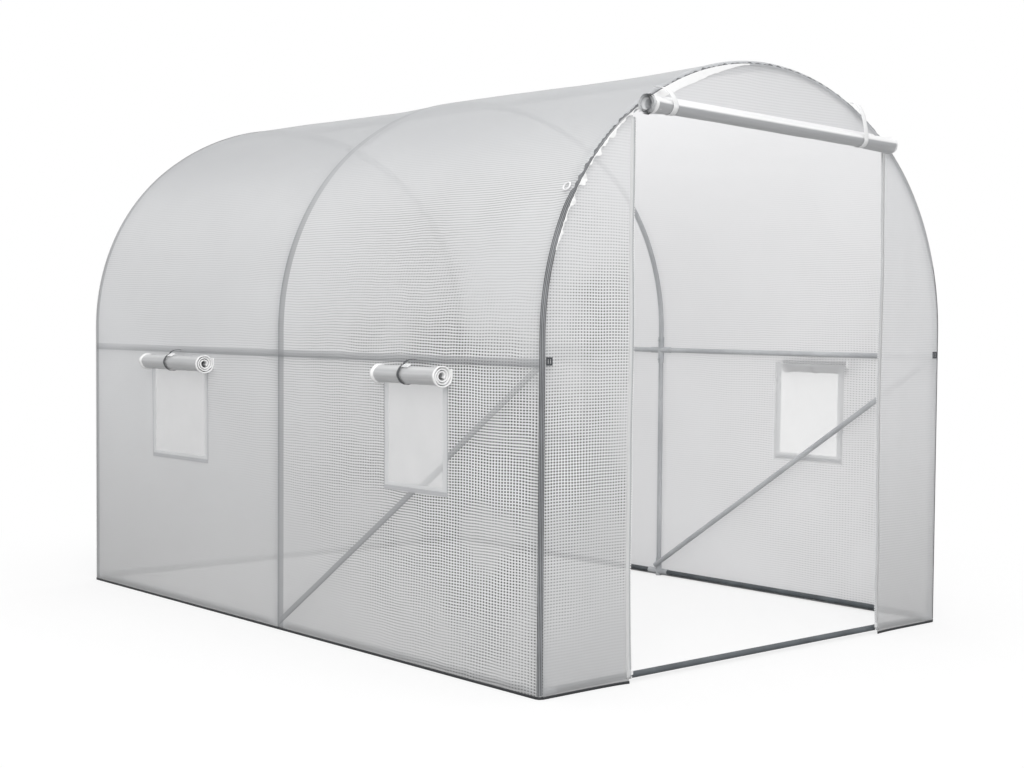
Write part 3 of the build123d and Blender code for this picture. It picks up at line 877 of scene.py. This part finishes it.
# Distances from the ridge, to the left below 0, and the hem's width there.
HEM_WIDTHS = [(-1.30, 0.004), (-1.22, 0.018), (-0.80, 0.020), (-0.66, 0.026), (-0.50, 0.032),
              (-0.40, 0.032), (-0.225, 0.017), (-0.13, 0.005), (-0.07, 0.005), (0.30, 0.010),
              (0.60, 0.013), (1.25, 0.013), (1.32, 0.004)]
HEM_END = 1.32
WIDEST_HEM = 0.032
SMOOTH_HEM_FROM = -0.10      # right of this x the hem lies smooth and shows its film's grey
TUCK = (1.57, 1.66)          # heights between which the corner tape narrows and puckers
CROWN_TUCK = (1.85, 1.98)    # and narrows once more


def gathered(reach):
    """Where the hem is puckered: over the left shoulder, up to the end of the rolled door."""
    share = ramp(reach, -1.31, -1.22) * (1 - 0.93 * ramp(reach, -0.70, -0.58))
    return share * min(1.0, 0.95 + 0.5 * noise.noise(Vector((reach * 8, 2.0, 2.0))))


def pucker(along, reach):
    """How far the hem stands off the cloth: folds as wide as a finger and finer ones on them."""
    inward = ramp(front_edge - along, 0.0, 0.02)
    fold = abs(noise.noise(Vector((along * 22 + reach * 3, reach * 40, 1.0)))) * 1.6
    fine = noise.noise(Vector((along * 70, reach * 110, 7.0)))
    return 0.0016 + gathered(reach) * (0.35 + 0.65 * inward) * (0.014 * fold + 0.005 * fine)


def hem_width(reach):
    """As a share of the widest place. Gathers leave only tufts of the hem in sight."""
    tuft = 0.2 + 3.6 * noise.noise(Vector((0.0, reach * 24, 11.0)))
    ragged = 1 + gathered(reach) * (min(1.1, max(0.04, tuft)) - 1)
    return from_table(HEM_WIDTHS, reach) / WIDEST_HEM * ragged


def tape_width(reach):
    """As a share of its width on the straight wall."""
    height = reach_to_height(reach)
    crooked = 0.5 * ramp(height, *TUCK) * noise.noise(Vector((reach * 45, 3.0, 5.0)))
    return 1 - 0.5 * ramp(height, *TUCK) - 0.3 * ramp(height, *CROWN_TUCK) + crooked


tape_reach = half_girth - 0.012
front_tape = strip_on_cover(
    "front_corner_tape", (front_edge + 0.002, hoop_y[0] - 0.003), (-tape_reach, tape_reach), 0.0045,
    0.0012, corner_tape, taper=tape_width)
rear_tape = strip_on_cover(
    "rear_corner_tape", (hoop_y[2] - 0.004, rear_edge + 0.012), (-tape_reach, tape_reach), 0.008,
    0.0012, hem_film)
front_hem = strip_on_cover(
    "front_gathered_hem", (front_edge + 0.003, front_edge + 0.003 - WIDEST_HEM), (-HEM_END, HEM_END),
    0.0042, pucker, hem_film, taper=hem_width)
front_hem.data.materials.append(hem_sill)
for face in front_hem.data.polygons:
    if face.center.x > SMOOTH_HEM_FROM:
        face.material_index = 1

# %% [markdown]
# ## Ground edge
#
# A dark strip lies over the lower edge of the whole cover, where it meets the ground. Its
# strips are cut flat and bent with the cloth's own functions, a little further out, so they
# follow each wave of it. A curve with a flat bevel would float off the cloth here and there.

# %% Dark tape along the ground
GROUND_TAPE = 0.009      # how far up the wall the tape shows
GROUND_LIFT = 0.0018     # how far it stands off the cloth


def ground_edges():
    bm = bmesh.new()
    for side in (-1, 1):
        reaches = sorted((side * (half_girth - GROUND_TAPE), side * half_girth))
        flat = cut_cloth((front_edge, rear_edge), reaches, 0.012)
        keep_flat_place(flat)
        lay_cloth(flat, GROUND_LIFT)
        join_part(bm, flat)
    spans = [(front_y, -1, -half_width, -door_half), (front_y, -1, door_half, half_width),
             (rear_y, 1, -half_width, half_width)]
    for plane, facing, x_from, x_to in spans:
        flat = cut_cloth((x_from, x_to), (0, GROUND_TAPE), 0.012)
        keep_flat_place(flat)
        for vert in flat.verts:
            x, z = vert.co.x, vert.co.y
            vert.co = (x, plane + facing * (GROUND_LIFT + end_wave(x, z, facing < 0)), z)
        join_part(bm, flat)
    return finish(bm, "ground_edge_tape", ground_tape, thickness=0.0008)


ground_edge = ground_edges()

# %% [markdown]
# ## Window frames and nets
#
# Each opening is bound with a welded frame: a white strip at each side with a darker welded
# line at its outer edge, and a deeper fold at the sill. The frame is one flat grid with the
# opening cut out, and a face takes the darker film if it lies in the line or in the sill's
# lower fold. The net is sewn in behind it.

# %% Bind the windows and sew in the nets
SIDE_HEM = 0.022         # width of the white strip at each side
WELD_LINE = 0.005        # width of the darker line outside it
SILL_HEM = 0.024         # height of the fold at the sill


def window_frame(window):
    start, end = window["span"]
    sill, top = window["sill"], window["top"]
    reaches = sorted(height_to_reach(z, window["side"]) for z in (sill - 0.004, top + 0.02))
    opening = sorted(height_to_reach(z, window["side"]) for z in (sill + SILL_HEM, top - 0.002))
    bm = cut_cloth((start - WELD_LINE, end + WELD_LINE), reaches, 0.006)
    cut_hole(bm, (start + SIDE_HEM, end - SIDE_HEM), opening)
    for x in (start, end):
        snap_line(bm, 0, x)
    fold = abs(height_to_reach(sill + SILL_HEM / 2, window["side"]))
    snap_line(bm, 1, math.copysign(fold, reaches[0] + reaches[1]))
    for face in bm.faces:
        centre = face.calc_center_median()
        if not start < centre.x < end or abs(centre.y) > fold:
            face.material_index = 1
    keep_flat_place(bm)
    lay_cloth(bm, 0.0012)
    bmesh.ops.reverse_faces(bm, faces=bm.faces[:])
    return finish(bm, f"{window['name']}_window_hem", hem_soft, edging=hem_sill)


def window_mesh(window):
    bm = cut_cloth([window["span"][0] - NET_MARGIN, window["span"][1] + NET_MARGIN],
                   sorted(height_to_reach(z, window["side"]) for z in
                          (window["sill"] - NET_MARGIN, window["top"] + NET_MARGIN)), 0.012)
    keep_flat_place(bm)
    lay_cloth(bm, lambda along, reach: -0.0012 + 0.0008 * noise.noise(Vector((along * 9, reach * 9, 4))))
    bmesh.ops.reverse_faces(bm, faces=bm.faces[:])
    net = finish(bm, f"{window['name']}_window_net", window_net,
                 [window["nets"]] if window["name"].endswith("front") else [])


window_hems = [window_frame(window) for window in windows]
for window in windows:
    window_mesh(window)

# %% [markdown]
# ## Rolled flaps
#
# A rolled flap is one long piece of cloth wound into a spiral, so that is how it is made: a
# flat grid is wound up, with its distance along the cloth turned into an angle and a radius.
# The layers slip sideways past each other at the ends and flare where they are not held,
# which shows the spiral. A roll that hangs from its wall slumps: its section is a little
# flatter than a circle, with a soft crease along the front, where the light changes from the
# top to the underside. The last few centimetres lie flat on the wall, up to the seam.

# %% Wind a flat cloth into a roll
SLUMP = 0.05             # share by which a roll is wider than high
FRONT_CREASE = 0.055     # share by which its front stands out at the crease
CREASE_WIDTH = 0.32      # in radians round the roll
LOOSE = 0.0016           # how uneven the layers lie
CRUMPLE = 0.0022         # and how much more so at the ends
END_PART = 0.06          # length of the ends


def section(r, angle, radius):
    """(u, v) of a point of a slumped roll. Its side at the wall stays in place."""
    crease = FRONT_CREASE * math.exp(-(math.remainder(angle, 2 * math.pi) / CREASE_WIDTH) ** 2)
    u, v = r * (1 + crease) * math.cos(angle), r * (1 + crease) * math.sin(angle)
    return (u + radius) * (1 + SLUMP) - radius, v * (1 - SLUMP)


def wind(bm, roll, core, radius, length, flare, ends, slip, seed, lean=0.0, top=None):
    """x of the flat cloth stays along the roll, y is the distance from the core outwards. ends is a
    table of how far each layer stands out at the ends, in slips. lean is how far the cloth comes
    back to the wall between the roll and its seam, and top how high above the roll it ends."""
    pitch = math.pi * (radius ** 2 - core ** 2) / length
    turns = 2 * math.pi * (radius - core) / pitch
    leader = max(vert.co.y for vert in bm.verts) - length
    for vert in bm.verts:
        t, s = vert.co.x, vert.co.y
        wound = min(s, length)
        r = math.sqrt(core ** 2 + wound * pitch / math.pi)
        angle = math.pi + turns - 2 * math.pi * (r - core) / pitch
        end = ramp(abs(t), roll["half"] - END_PART, roll["half"])
        loose = noise.noise(Vector((t * 2.2, angle * 1.3, seed)))
        loose += 0.7 * noise.noise(Vector((t * 7, angle * 2.6, seed)))
        crumple = noise.noise(Vector((t * 20, angle * 2.3, seed + 4)))
        depth = r / radius
        fit = min(1.0, (length - wound) / 0.03 + 0.25)
        r += depth * fit * (flare(t) * radius + LOOSE * loose + CRUMPLE * end * crumple)
        u, v = section(r, angle, radius)
        past = max(0.0, s - length)
        uneven = 0.5 * noise.noise(Vector((s * 9, seed, math.copysign(2, t))))
        slide = slip * end * (uneven + from_table(ends, depth))
        v = min(v + past, top(t)) if top and past else v + past
        vert.co = on_roll(roll, t + math.copysign(1, t) * slide, u - lean * past / leader, v)
    bm.normal_update()


def face_out(bm, roll):
    """Turns the faces of a wound cloth so that they look away from the roll's middle."""
    sample = max(bm.faces, key=lambda face: (face.calc_center_median() - roll["middle"]).dot(roll["out"]))
    if sample.normal.dot(roll["out"]) < 0:
        bmesh.ops.reverse_faces(bm, faces=bm.faces[:])


print(f"a roll is {(1 + SLUMP) / (1 - SLUMP):.2f} times as wide as high")

# %% [markdown]
# ## Window flaps
#
# A window flap is short and wound loosely, so its few layers show at the ends. Its side hems
# are folded and welded, which makes them several times as thick as the cloth: a vertex group
# tells the Solidify modifier to be thick there and thin in between.

# %% Wind the window flaps
HEM_THICKNESS = 0.0052
FLAP_HEM = 0.013         # width of the bound side edges
FLAP_SEAM = 0.020        # how much longer a flap is than its window is high
FLAP_LEADER = 0.022      # the part between the roll and the seam on the wall
FLAP_CORE = 0.008        # radius of the hole in the middle
FLAP_BULK = 0.0035       # what the thick hems add to the radius
FLAP_SLIP = 0.005        # the inner layers lie nearly this far inside the outer ones at the ends


def window_roll(window, seed):
    roll = window["roll"]
    half, radius = roll["half"], roll["radius"] - FLAP_BULK
    length = window["top"] - window["sill"] + FLAP_SEAM
    bm = cut_cloth((-half, half), (0, length + FLAP_LEADER), 0.005, 0.0035)
    keep_flat_place(bm)
    for face in bm.faces:
        if abs(face.calc_center_median().x) > half - FLAP_HEM:
            face.material_index = 1
    bm.verts.index_update()
    hem = [vert.index for vert in bm.verts if abs(vert.co.x) > half - FLAP_HEM]

    def flare(t):
        """Grows in the last centimetres: the end towards the door is looser and opens out."""
        return 0.10 * math.exp((-half - t) / 0.016) if t < 0 else 0.05 * math.exp((t - half) / 0.01)

    wind(bm, roll, FLAP_CORE, radius, length, flare, [(0, -0.9), (1, 0)], FLAP_SLIP, seed)
    face_out(bm, roll)
    piece = finish(bm, f"{window['name']}_rolled_flap", rolled_window, [roll["node"]],
                   thickness=HEM_THICKNESS, edging=hem_film)
    piece.vertex_groups.new(name="hem").add(hem, 1.0, "REPLACE")
    wall = piece.modifiers["thickness"]
    wall.vertex_group = "hem"
    wall.thickness_vertex_group = 0.3


for i, window in enumerate(windows):
    window_roll(window, 10.0 + 7 * i)

# %% [markdown]
# ## The rolled door
#
# Nearly two metres of cloth make 17 turns. The straps pull the roll thin between them and its
# ends stay fat and open, so the flare grows outside the straps. At the left end the outermost
# turn shows its white side hem, and at both ends the inner turns show their cut edges in painted shade.
# The layers are so close that the cloth needs no thickness.

# %% Wind the door
DOOR_CLOTH = door_top + 0.02
DOOR_LEADER = 0.042      # the part that reaches up from the roll to its seam
DOOR_RADIUS = 0.0250
DOOR_CORE = 0.010        # radius of the hole in the middle
DOOR_HEM = 0.021         # width of the white side hem
DOOR_CUT_EDGE = 0.040    # how far in from the ends the inner turns show their edges
OUTER_TURN = 0.18        # length of cloth in the last turn
DOOR_SLIP = 0.014        # a slip of the layers at the ends is this long
DOOR_LEAN = 0.014        # the leader comes back this far to the front sheet
# How far each layer stands out at the ends: (radius as a share of the roll's, slips).
DOOR_ENDS = [(0.40, -0.9), (0.52, -0.5), (0.58, 0.2), (0.74, 0.2), (0.78, -0.5), (0.84, -0.5),
             (0.88, 0.3), (0.945, 0.3), (0.96, -0.35), (1.5, -0.35)]
STRAP_T = {"left": low("door_straps").x + 0.0138, "right": high("door_straps").x - 0.0138}


def door_flare(t):
    """How much fatter than DOOR_RADIUS: little between the straps, most at the left end's lip."""
    half = door_roll["half"]
    past_strap = ramp(t, STRAP_T["right"], half) + ramp(-t, -STRAP_T["left"], half)
    lip = (0.28 if t < 0 else 0.10) * math.exp((abs(t) - half) / 0.025)
    fuller = 0.06 * ramp(t, STRAP_T["left"], STRAP_T["right"])
    return fuller + 0.20 * math.sqrt(past_strap) + lip


def wind_door():
    half = door_roll["half"]
    bm = cut_cloth((-half, half), (0, DOOR_CLOTH + DOOR_LEADER), 0.0105,
                   0.0045)
    keep_flat_place(bm)
    for face in bm.faces:
        centre = face.calc_center_median()
        if centre.y < DOOR_CLOTH - OUTER_TURN:
            # Near the ends the inner turns take the painted shade of the cut edges.
            face.material_index = 2 if abs(centre.x) > half - DOOR_CUT_EDGE else 0
        elif centre.x < DOOR_HEM - half:
            face.material_index = 1
    wind(bm, door_roll, DOOR_CORE, DOOR_RADIUS, DOOR_CLOTH, door_flare, DOOR_ENDS, DOOR_SLIP, 3.0,
         lean=DOOR_LEAN, top=lambda t: arch_height(t) - 0.012 - on_roll(door_roll, t, 0, 0).z)
    face_out(bm, door_roll)
    piece = finish(bm, "door_rolled_up", rolled_sheet, ["door_roll"], edging=hem_film)
    piece.data.materials.append(shaded_cut_edges)


wind_door()

# %% [markdown]
# ## Straps and ties
#
# White webbing straps hold the rolled door up and narrow dark tapes tie the window rolls. A
# strap starts at its seam on the wall, bows out over the roll and goes down in front and back
# underneath. The free part is a Bezier curve from the seam to the place where it touches, the
# rest follows the roll's own section, and a flat strip of webbing is bent along both.

# %% Straps round the rolls
BOW_STEPS = 32          # points along the free part of a strap
STRAP_WIDTH = 0.023
TIE_WIDTH = 0.011
WEBBING = 0.0014         # thickness


def wrap_strap(name, roll, centre, width, radius, anchor, touch, slant, material, replaces=()):
    """anchor is the seam (u, v) on the wall, touch the angle where the strap meets the roll and
    slant how far along the roll the seam is from there."""
    u, v = section(radius, touch, radius)
    bow = [Vector((*anchor, 0)), Vector((anchor[0] + 0.6 * (u - anchor[0]), anchor[1] + 0.004, 0)),
           Vector((u + 0.002, v + 0.5 * (anchor[1] - v), 0)), Vector((u, v, 0))]
    free = interpolate_bezier(*bow, BOW_STEPS + 1)
    straight = sum((b - a).length for a, b in zip(free, free[1:]))
    arc = radius * (touch + math.pi * 0.98)
    bm = cut_cloth((-width / 2, width / 2), (0, straight + arc), 0.004, 0.003)
    keep_flat_place(bm)
    for vert in bm.verts:
        t, s = vert.co.x, vert.co.y
        if s < straight:
            step = s / straight * BOW_STEPS
            start = min(BOW_STEPS - 1, int(step))
            here = free[start].lerp(free[start + 1], step - start)
            u, v = here.x, here.y
        else:
            u, v = section(radius, touch - (s - straight) / radius, radius)
        aside = slant * max(0.0, 1 - s / straight) + 0.0015 * math.sin(s * 40)
        vert.co = on_roll(roll, centre + t + aside, u, v)
    bmesh.ops.recalc_face_normals(bm, faces=bm.faces[:])
    return finish(bm, name, material, replaces, thickness=WEBBING)


def door_strap(side):
    """Its seam is on the hem of the front arch. The left one is pulled aside and runs at a slant."""
    t = STRAP_T[side]
    seam = arch_height(t) + 0.014 - on_roll(door_roll, t, 0, 0).z
    aside, slant = (0.008, -0.030) if side == "left" else (0.0, 0.0)
    return wrap_strap(f"door_strap_{side}", door_roll, t + aside, STRAP_WIDTH, DOOR_RADIUS + 0.0035,
                      (-door_roll["radius"] + 0.004, seam), 0.15, slant, white_webbing,
                      ["door_straps"] if side == "right" else [])


TIE_SHARE = 0.45        # of the roll's length, from its rear end


def window_tie(window):
    roll = window["roll"]
    return wrap_strap(f"{window['name']}_window_tie", roll, (1 - 2 * TIE_SHARE) * roll["half"], TIE_WIDTH,
                      roll["radius"] - 0.0015, (-roll["radius"] + 0.003, 0.050), 1.3, 0.0,
                      tie_webbing, ["window_straps"] if window is windows[0] else [])


for side in ("left", "right"):
    door_strap(side)
for window in windows:
    window_tie(window)

# %% [markdown]
# ## Buckles
#
# The ties run through small ladder buckles. A grid of five by five cells, with three left out
# for each of two slots, is made thick and its sharp edges are bevelled. The buckle of a tie
# lies on the roll, beside the tape, so its frame is built from the roll's own directions.

# %% Ladder buckles
BUCKLE_PLATE = 0.0032    # thickness
BUCKLE_EDGE = 0.0007     # width of the bevel


def ladder_buckle(bm, width, depth, matrix):
    plate = bmesh.new()
    bmesh.ops.create_grid(plate, x_segments=5, y_segments=5, size=0.5)
    slots = [face for face in plate.faces if abs(face.calc_center_median().y) < 0.3
             and 0.1 < abs(face.calc_center_median().x) < 0.3]
    bmesh.ops.delete(plate, geom=slots, context="FACES")
    bmesh.ops.scale(plate, vec=(width, depth, 1), verts=plate.verts[:])
    bmesh.ops.solidify(plate, geom=plate.faces[:], thickness=BUCKLE_PLATE)
    bmesh.ops.recalc_face_normals(plate, faces=plate.faces[:])
    sharp = [edge for edge in plate.edges if edge.calc_face_angle(0) > 0.5]
    bmesh.ops.bevel(plate, geom=sharp, offset=BUCKLE_EDGE, segments=2, profile=0.5, affect="EDGES",
                    material=-1)
    bmesh.ops.transform(plate, matrix=matrix, verts=plate.verts[:])
    join_part(bm, plate)


def buckle_piece(name, material, places, replaces=()):
    bm = bmesh.new()
    for width, depth, matrix in places:
        ladder_buckle(bm, width, depth, matrix)
    return finish(bm, name, material, replaces, smooth=False)


def frame_on_roll(roll, t, radius, angle):
    """A frame that lies on a roll: x along it, z outwards."""
    here = on_roll(roll, t, *section(radius, angle, radius))
    along, out = roll["along"], roll["out"] * math.cos(angle) + Vector((0, 0, math.sin(angle)))
    return Matrix.Translation(here) @ Matrix((along, out.cross(along), out)).transposed().to_4x4()


buckle_piece("window_tie_buckles", white_plastic, [
    (0.034, 0.020, frame_on_roll(window["roll"], (1 - 2 * TIE_SHARE) * window["roll"]["half"] - 0.020,
                                 window["roll"]["radius"], math.radians(62))) for window in windows])
corner_z = middle("corner_buckles").z
corner_x = high("corner_buckles").x - 0.013
buckle_piece("corner_ladder_buckles", buckle_plastic, [
    (0.026, 0.026, Matrix.Translation((sign * corner_x, front_y - 0.0025, corner_z))
     @ Matrix.Rotation(math.pi / 2, 4, "X")) for sign in (-1, 1)], ["corner_buckles"])

# %% [markdown]
# ## Zips
#
# A zip runs up each side of the doorway. Half of it stays on the panel: a tape, sewn along
# the edge, and a row of teeth, with the teeth's painted shadow as a grey strip on the tape
# beside them. The slider rests at the bottom while the door is open. Real teeth are 1.5 mm
# apart, too fine to show here, so they are drawn 8.5 mm apart.

# %% Zip tapes, teeth and sliders
TOOTH_PITCH = 0.0085
ZIP_INNER, ZIP_SHADOW_EDGE, ZIP_OUTER = 0.011, 0.003, -0.010     # towards the doorway from its edge
ZIP_TEETH = 0.0115                                        # the line of the teeth
TOOTH_SIZE = (0.0045, 0.0024, 0.0045)
SLIDER_SIZE = (0.010, 0.006, 0.016)


def on_front(x, z, lift):
    return Vector((x, front_y - end_wave(x, z, True) - lift, z))


def zip_half(side):
    name = "left" if side < 0 else "right"
    node = f"door_{name}_zip"
    bottom, top = low(node).z, high(node).z
    edges = sorted((side * (door_half - ZIP_INNER), side * (door_half - ZIP_OUTER)))
    tape = cut_cloth(edges, (bottom, top), 0.012)
    snap_line(tape, 0, side * (door_half - ZIP_SHADOW_EDGE))
    # The strip beside the teeth takes their painted shadow.
    for face in tape.faces:
        if abs(face.calc_center_median().x) < door_half - ZIP_SHADOW_EDGE:
            face.material_index = 1
    keep_flat_place(tape)
    for vert in tape.verts:
        vert.co = on_front(vert.co.x, vert.co.y, 0.0010)
    bmesh.ops.recalc_face_normals(tape, faces=tape.faces[:])
    tape_piece = finish(tape, f"{name}_zip_tape", zip_tape, [node], thickness=0.0008,
                        edging=zip_teeth_shadow)
    teeth = bmesh.new()
    x = side * (door_half - ZIP_TEETH)
    for i in range(int((top - bottom) / TOOTH_PITCH)):
        z = bottom + (i + 0.5) * TOOTH_PITCH
        bmesh.ops.create_cube(teeth, size=1, matrix=Matrix.Translation(on_front(x, z, 0.0012))
                              @ Matrix.Diagonal((*TOOTH_SIZE, 1)))
    at_bottom = Matrix.Translation(on_front(x, bottom + 0.02, 0.003))
    slider = bmesh.ops.create_cube(teeth, size=1, matrix=at_bottom @ Matrix.Diagonal((*SLIDER_SIZE, 1)))
    corners = set(slider["verts"])
    edges = [edge for edge in teeth.edges if corners.issuperset(edge.verts)]
    bmesh.ops.bevel(teeth, geom=edges, offset=0.002, segments=2, profile=0.5, affect="EDGES", material=-1)
    teeth_piece = finish(teeth, f"{name}_zip_teeth", zip_teeth, smooth=False)
    return [tape_piece, teeth_piece]


zips = zip_half(-1) + zip_half(1)

# %% [markdown]
# ## Bolts
#
# Each fitting is held by hexagon bolts that go through the tube. A head is a washer with a
# tapered hexagon on it, two cones with few sides, put at each joint on the tubes' inner face.
# All heads are one piece, because nothing tells them apart and nothing moves them.

# %% Hexagon bolts in the fittings
SLEEVE_WALL = 0.0026     # the fittings are this much thicker than the tubes
FOOT_BOLT = 0.062        # height of the lowest bolts
RAIL_BOLT = 0.016        # distance from the ends of a rail fitting
CROWN_BOLT = 0.045       # distance from the ridge


def bolt_head(bm, matrix):
    """A washer and a tapered hexagon on it."""
    bmesh.ops.create_cone(bm, cap_ends=True, segments=16, radius1=0.007, radius2=0.0066,
                          depth=0.0012, matrix=matrix)
    bmesh.ops.create_cone(bm, cap_ends=True, segments=6, radius1=0.0054, radius2=0.0050,
                          depth=0.0042, matrix=matrix @ Matrix.Translation((0, 0, 0.0026)))


def bolts():
    bm = bmesh.new()
    sleeve = tube_radius + SLEEVE_WALL
    for y in hoop_y:
        for side in (-1, 1):
            for z in (FOOT_BOLT, low("rail_fittings").z + RAIL_BOLT, high("rail_fittings").z - RAIL_BOLT):
                bolt_head(bm, Matrix.Translation((side * (half_width - sleeve), y, z))
                          @ Matrix.Rotation(-side * math.pi / 2, 4, "Y"))
        for x in (-CROWN_BOLT, CROWN_BOLT):
            bolt_head(bm, Matrix.Translation((x, y, apex_z - sleeve - abs(x) ** 2 / (2 * crown_radius)))
                      @ Matrix.Rotation(math.pi, 4, "X"))
    return finish(bm, "fitting_bolts", bolt_zinc, smooth=False)


bolts()

# %% [markdown]
# ## Loop at the shoulder
#
# Where the left shoulder's hem begins, a small loop of film cord stands out of the seam and
# lies on the roof. It is a ring: a small circle, spun about the cover's own normal there. A
# ready torus would need turning into that slant, and the spin takes its axis as it is.

# %% Loop beside the corner tape
LOOP_REACH = -1.10       # distance from the ridge, to the left
LOOP_RADIUS = 0.014
LOOP_CORD = 0.0034       # radius of the cord itself


def hem_loop():
    along = hoop_y[0] + 0.016
    centre = Vector(over_the_hoops(along, LOOP_REACH, 0.005))
    away = (Vector(over_the_hoops(along, LOOP_REACH, 0.015)) - centre).normalized()
    tangent = Vector((0, 1, 0))
    across = Matrix((tangent, away, tangent.cross(away))).transposed().to_4x4()
    bm = bmesh.new()
    bmesh.ops.create_circle(bm, segments=10, radius=LOOP_CORD, matrix=(
        Matrix.Translation(centre + tangent * LOOP_RADIUS) @ across))
    bmesh.ops.spin(bm, geom=bm.verts[:] + bm.edges[:], cent=centre, axis=away,
                   angle=2 * math.pi, steps=28, use_merge=True)
    bmesh.ops.recalc_face_normals(bm, faces=bm.faces[:])
    return finish(bm, "front_hem_loop", white_plastic)


hem_loop()

# %% [markdown]

# %% [markdown]
# ## Camera
#
# The camera stands left of the doorway, a little above the side rail's height, and looks
# slightly down, past the left front corner and through the door. It is turned by its three
# angles, yaw, pitch and roll, which are easier to adjust one by one than a point to look at.

# %% Camera
CAMERA_PLACE = Vector((-4.474, -3.800 + hoop_y[0], 1.209))
CAMERA_YAW = math.radians(40.96)
CAMERA_PITCH = math.radians(-2.36)
CAMERA_ROLL = math.radians(0.43)
CAMERA_LENS = 57.23      # millimetres, on a sensor 36 mm wide


def set_camera():
    data = bpy.data.cameras.new("view")
    data.sensor_width = 36.0
    data.lens = CAMERA_LENS
    camera = bpy.data.objects.new("view", data)
    bpy.context.scene.collection.objects.link(camera)
    turn = (Matrix.Rotation(-CAMERA_YAW, 4, "Z") @ Matrix.Rotation(math.pi / 2 + CAMERA_PITCH, 4, "X")
            @ Matrix.Rotation(CAMERA_ROLL, 4, "Z"))
    camera.matrix_world = Matrix.Translation(CAMERA_PLACE) @ turn
    bpy.context.scene.camera = camera
    print("camera looks along", [round(x, 3) for x in (turn @ Vector((0, 0, -1)))])


set_camera()

# %% [markdown]
# ## Floor, sky and lamps
#
# A pale floor keeps the shadow under the walls and turns plain white further out. The sky is
# an even white, and two large soft lamps, above and in front, give the cloth its relief.

# %% Floor, world and lamps
def set_floor():
    bm = bmesh.new()
    bmesh.ops.create_grid(bm, x_segments=1, y_segments=1, size=30)
    bmesh.ops.translate(bm, verts=bm.verts[:], vec=(0, 0, -0.001))
    mesh = bpy.data.meshes.new("studio_floor")
    bm.to_mesh(mesh)
    bm.free()
    floor = bpy.data.objects.new("studio_floor", mesh)
    bpy.context.scene.collection.objects.link(floor)
    material, tree = new_material("studio_paper")
    path = add(tree, "ShaderNodeLightPath", {}).node
    # The camera sees white paper, but it throws back only as much light as dull ground does.
    shade = add(tree, "ShaderNodeMix", {"data_type": "RGBA"}, _0=path.outputs["Is Camera Ray"],
                _6=colour("#B4B4B4"), _7=colour("#F2F2F2"))
    paper = add(tree, "ShaderNodeBsdfDiffuse", {}, Color=shade)
    white = add(tree, "ShaderNodeEmission", {}, Color=colour("#FFFFFF"), Strength=1.0)
    place = add(tree, "ShaderNodeTexCoord", {}).node.outputs["Object"]
    far = add(tree, "ShaderNodeVectorMath", {"operation": "LENGTH"}, _0=place).node.outputs["Value"]
    plain = add(tree, "ShaderNodeMapRange", {"interpolation_type": "SMOOTHSTEP"}, Value=far,
                From_Min=1.8, From_Max=3.4, To_Min=0.72, To_Max=1.0)
    share = add(tree, "ShaderNodeMath", {"operation": "MULTIPLY"},
                _0=path.outputs["Is Camera Ray"], _1=plain)
    out = add(tree, "ShaderNodeMixShader", {}, Fac=share, _1=paper, _2=white)
    add(tree, "ShaderNodeOutputMaterial", {}, Surface=out)
    mesh.materials.append(material)


def set_world():
    world = bpy.data.worlds.new("studio")
    bpy.context.scene.world = world
    world.use_nodes = True
    tree = world.node_tree
    tree.nodes.clear()
    path = add(tree, "ShaderNodeLightPath", {}).node
    seen = add(tree, "ShaderNodeMath", {"operation": "MAXIMUM"},
               _0=path.outputs["Is Camera Ray"], _1=path.outputs["Is Transmission Ray"])
    level = add(tree, "ShaderNodeMapRange", {}, Value=seen, To_Min=0.80, To_Max=1.0)
    sky = add(tree, "ShaderNodeBackground", {}, Color=colour("#FFFFFF"), Strength=level)
    add(tree, "ShaderNodeOutputWorld", {}, Surface=sky)


def set_lamp(name, place, target, size, power):
    data = bpy.data.lights.new(name, "AREA")
    data.energy = power
    data.size = size
    lamp = bpy.data.objects.new(name, data)
    bpy.context.scene.collection.objects.link(lamp)
    aim = (Vector(target) - Vector(place)).to_track_quat("-Z", "Y")
    lamp.matrix_world = Matrix.Translation(place) @ aim.to_matrix().to_4x4()


set_floor()
set_world()
set_lamp("sky_panel", (0, 0, 7), (0, 0, 0), 7, 165)
set_lamp("front_panel", (-5, -6.5, 4.5), (0, 0, 1.2), 5, 300)
bpy.context.scene.view_settings.view_transform = "Standard"
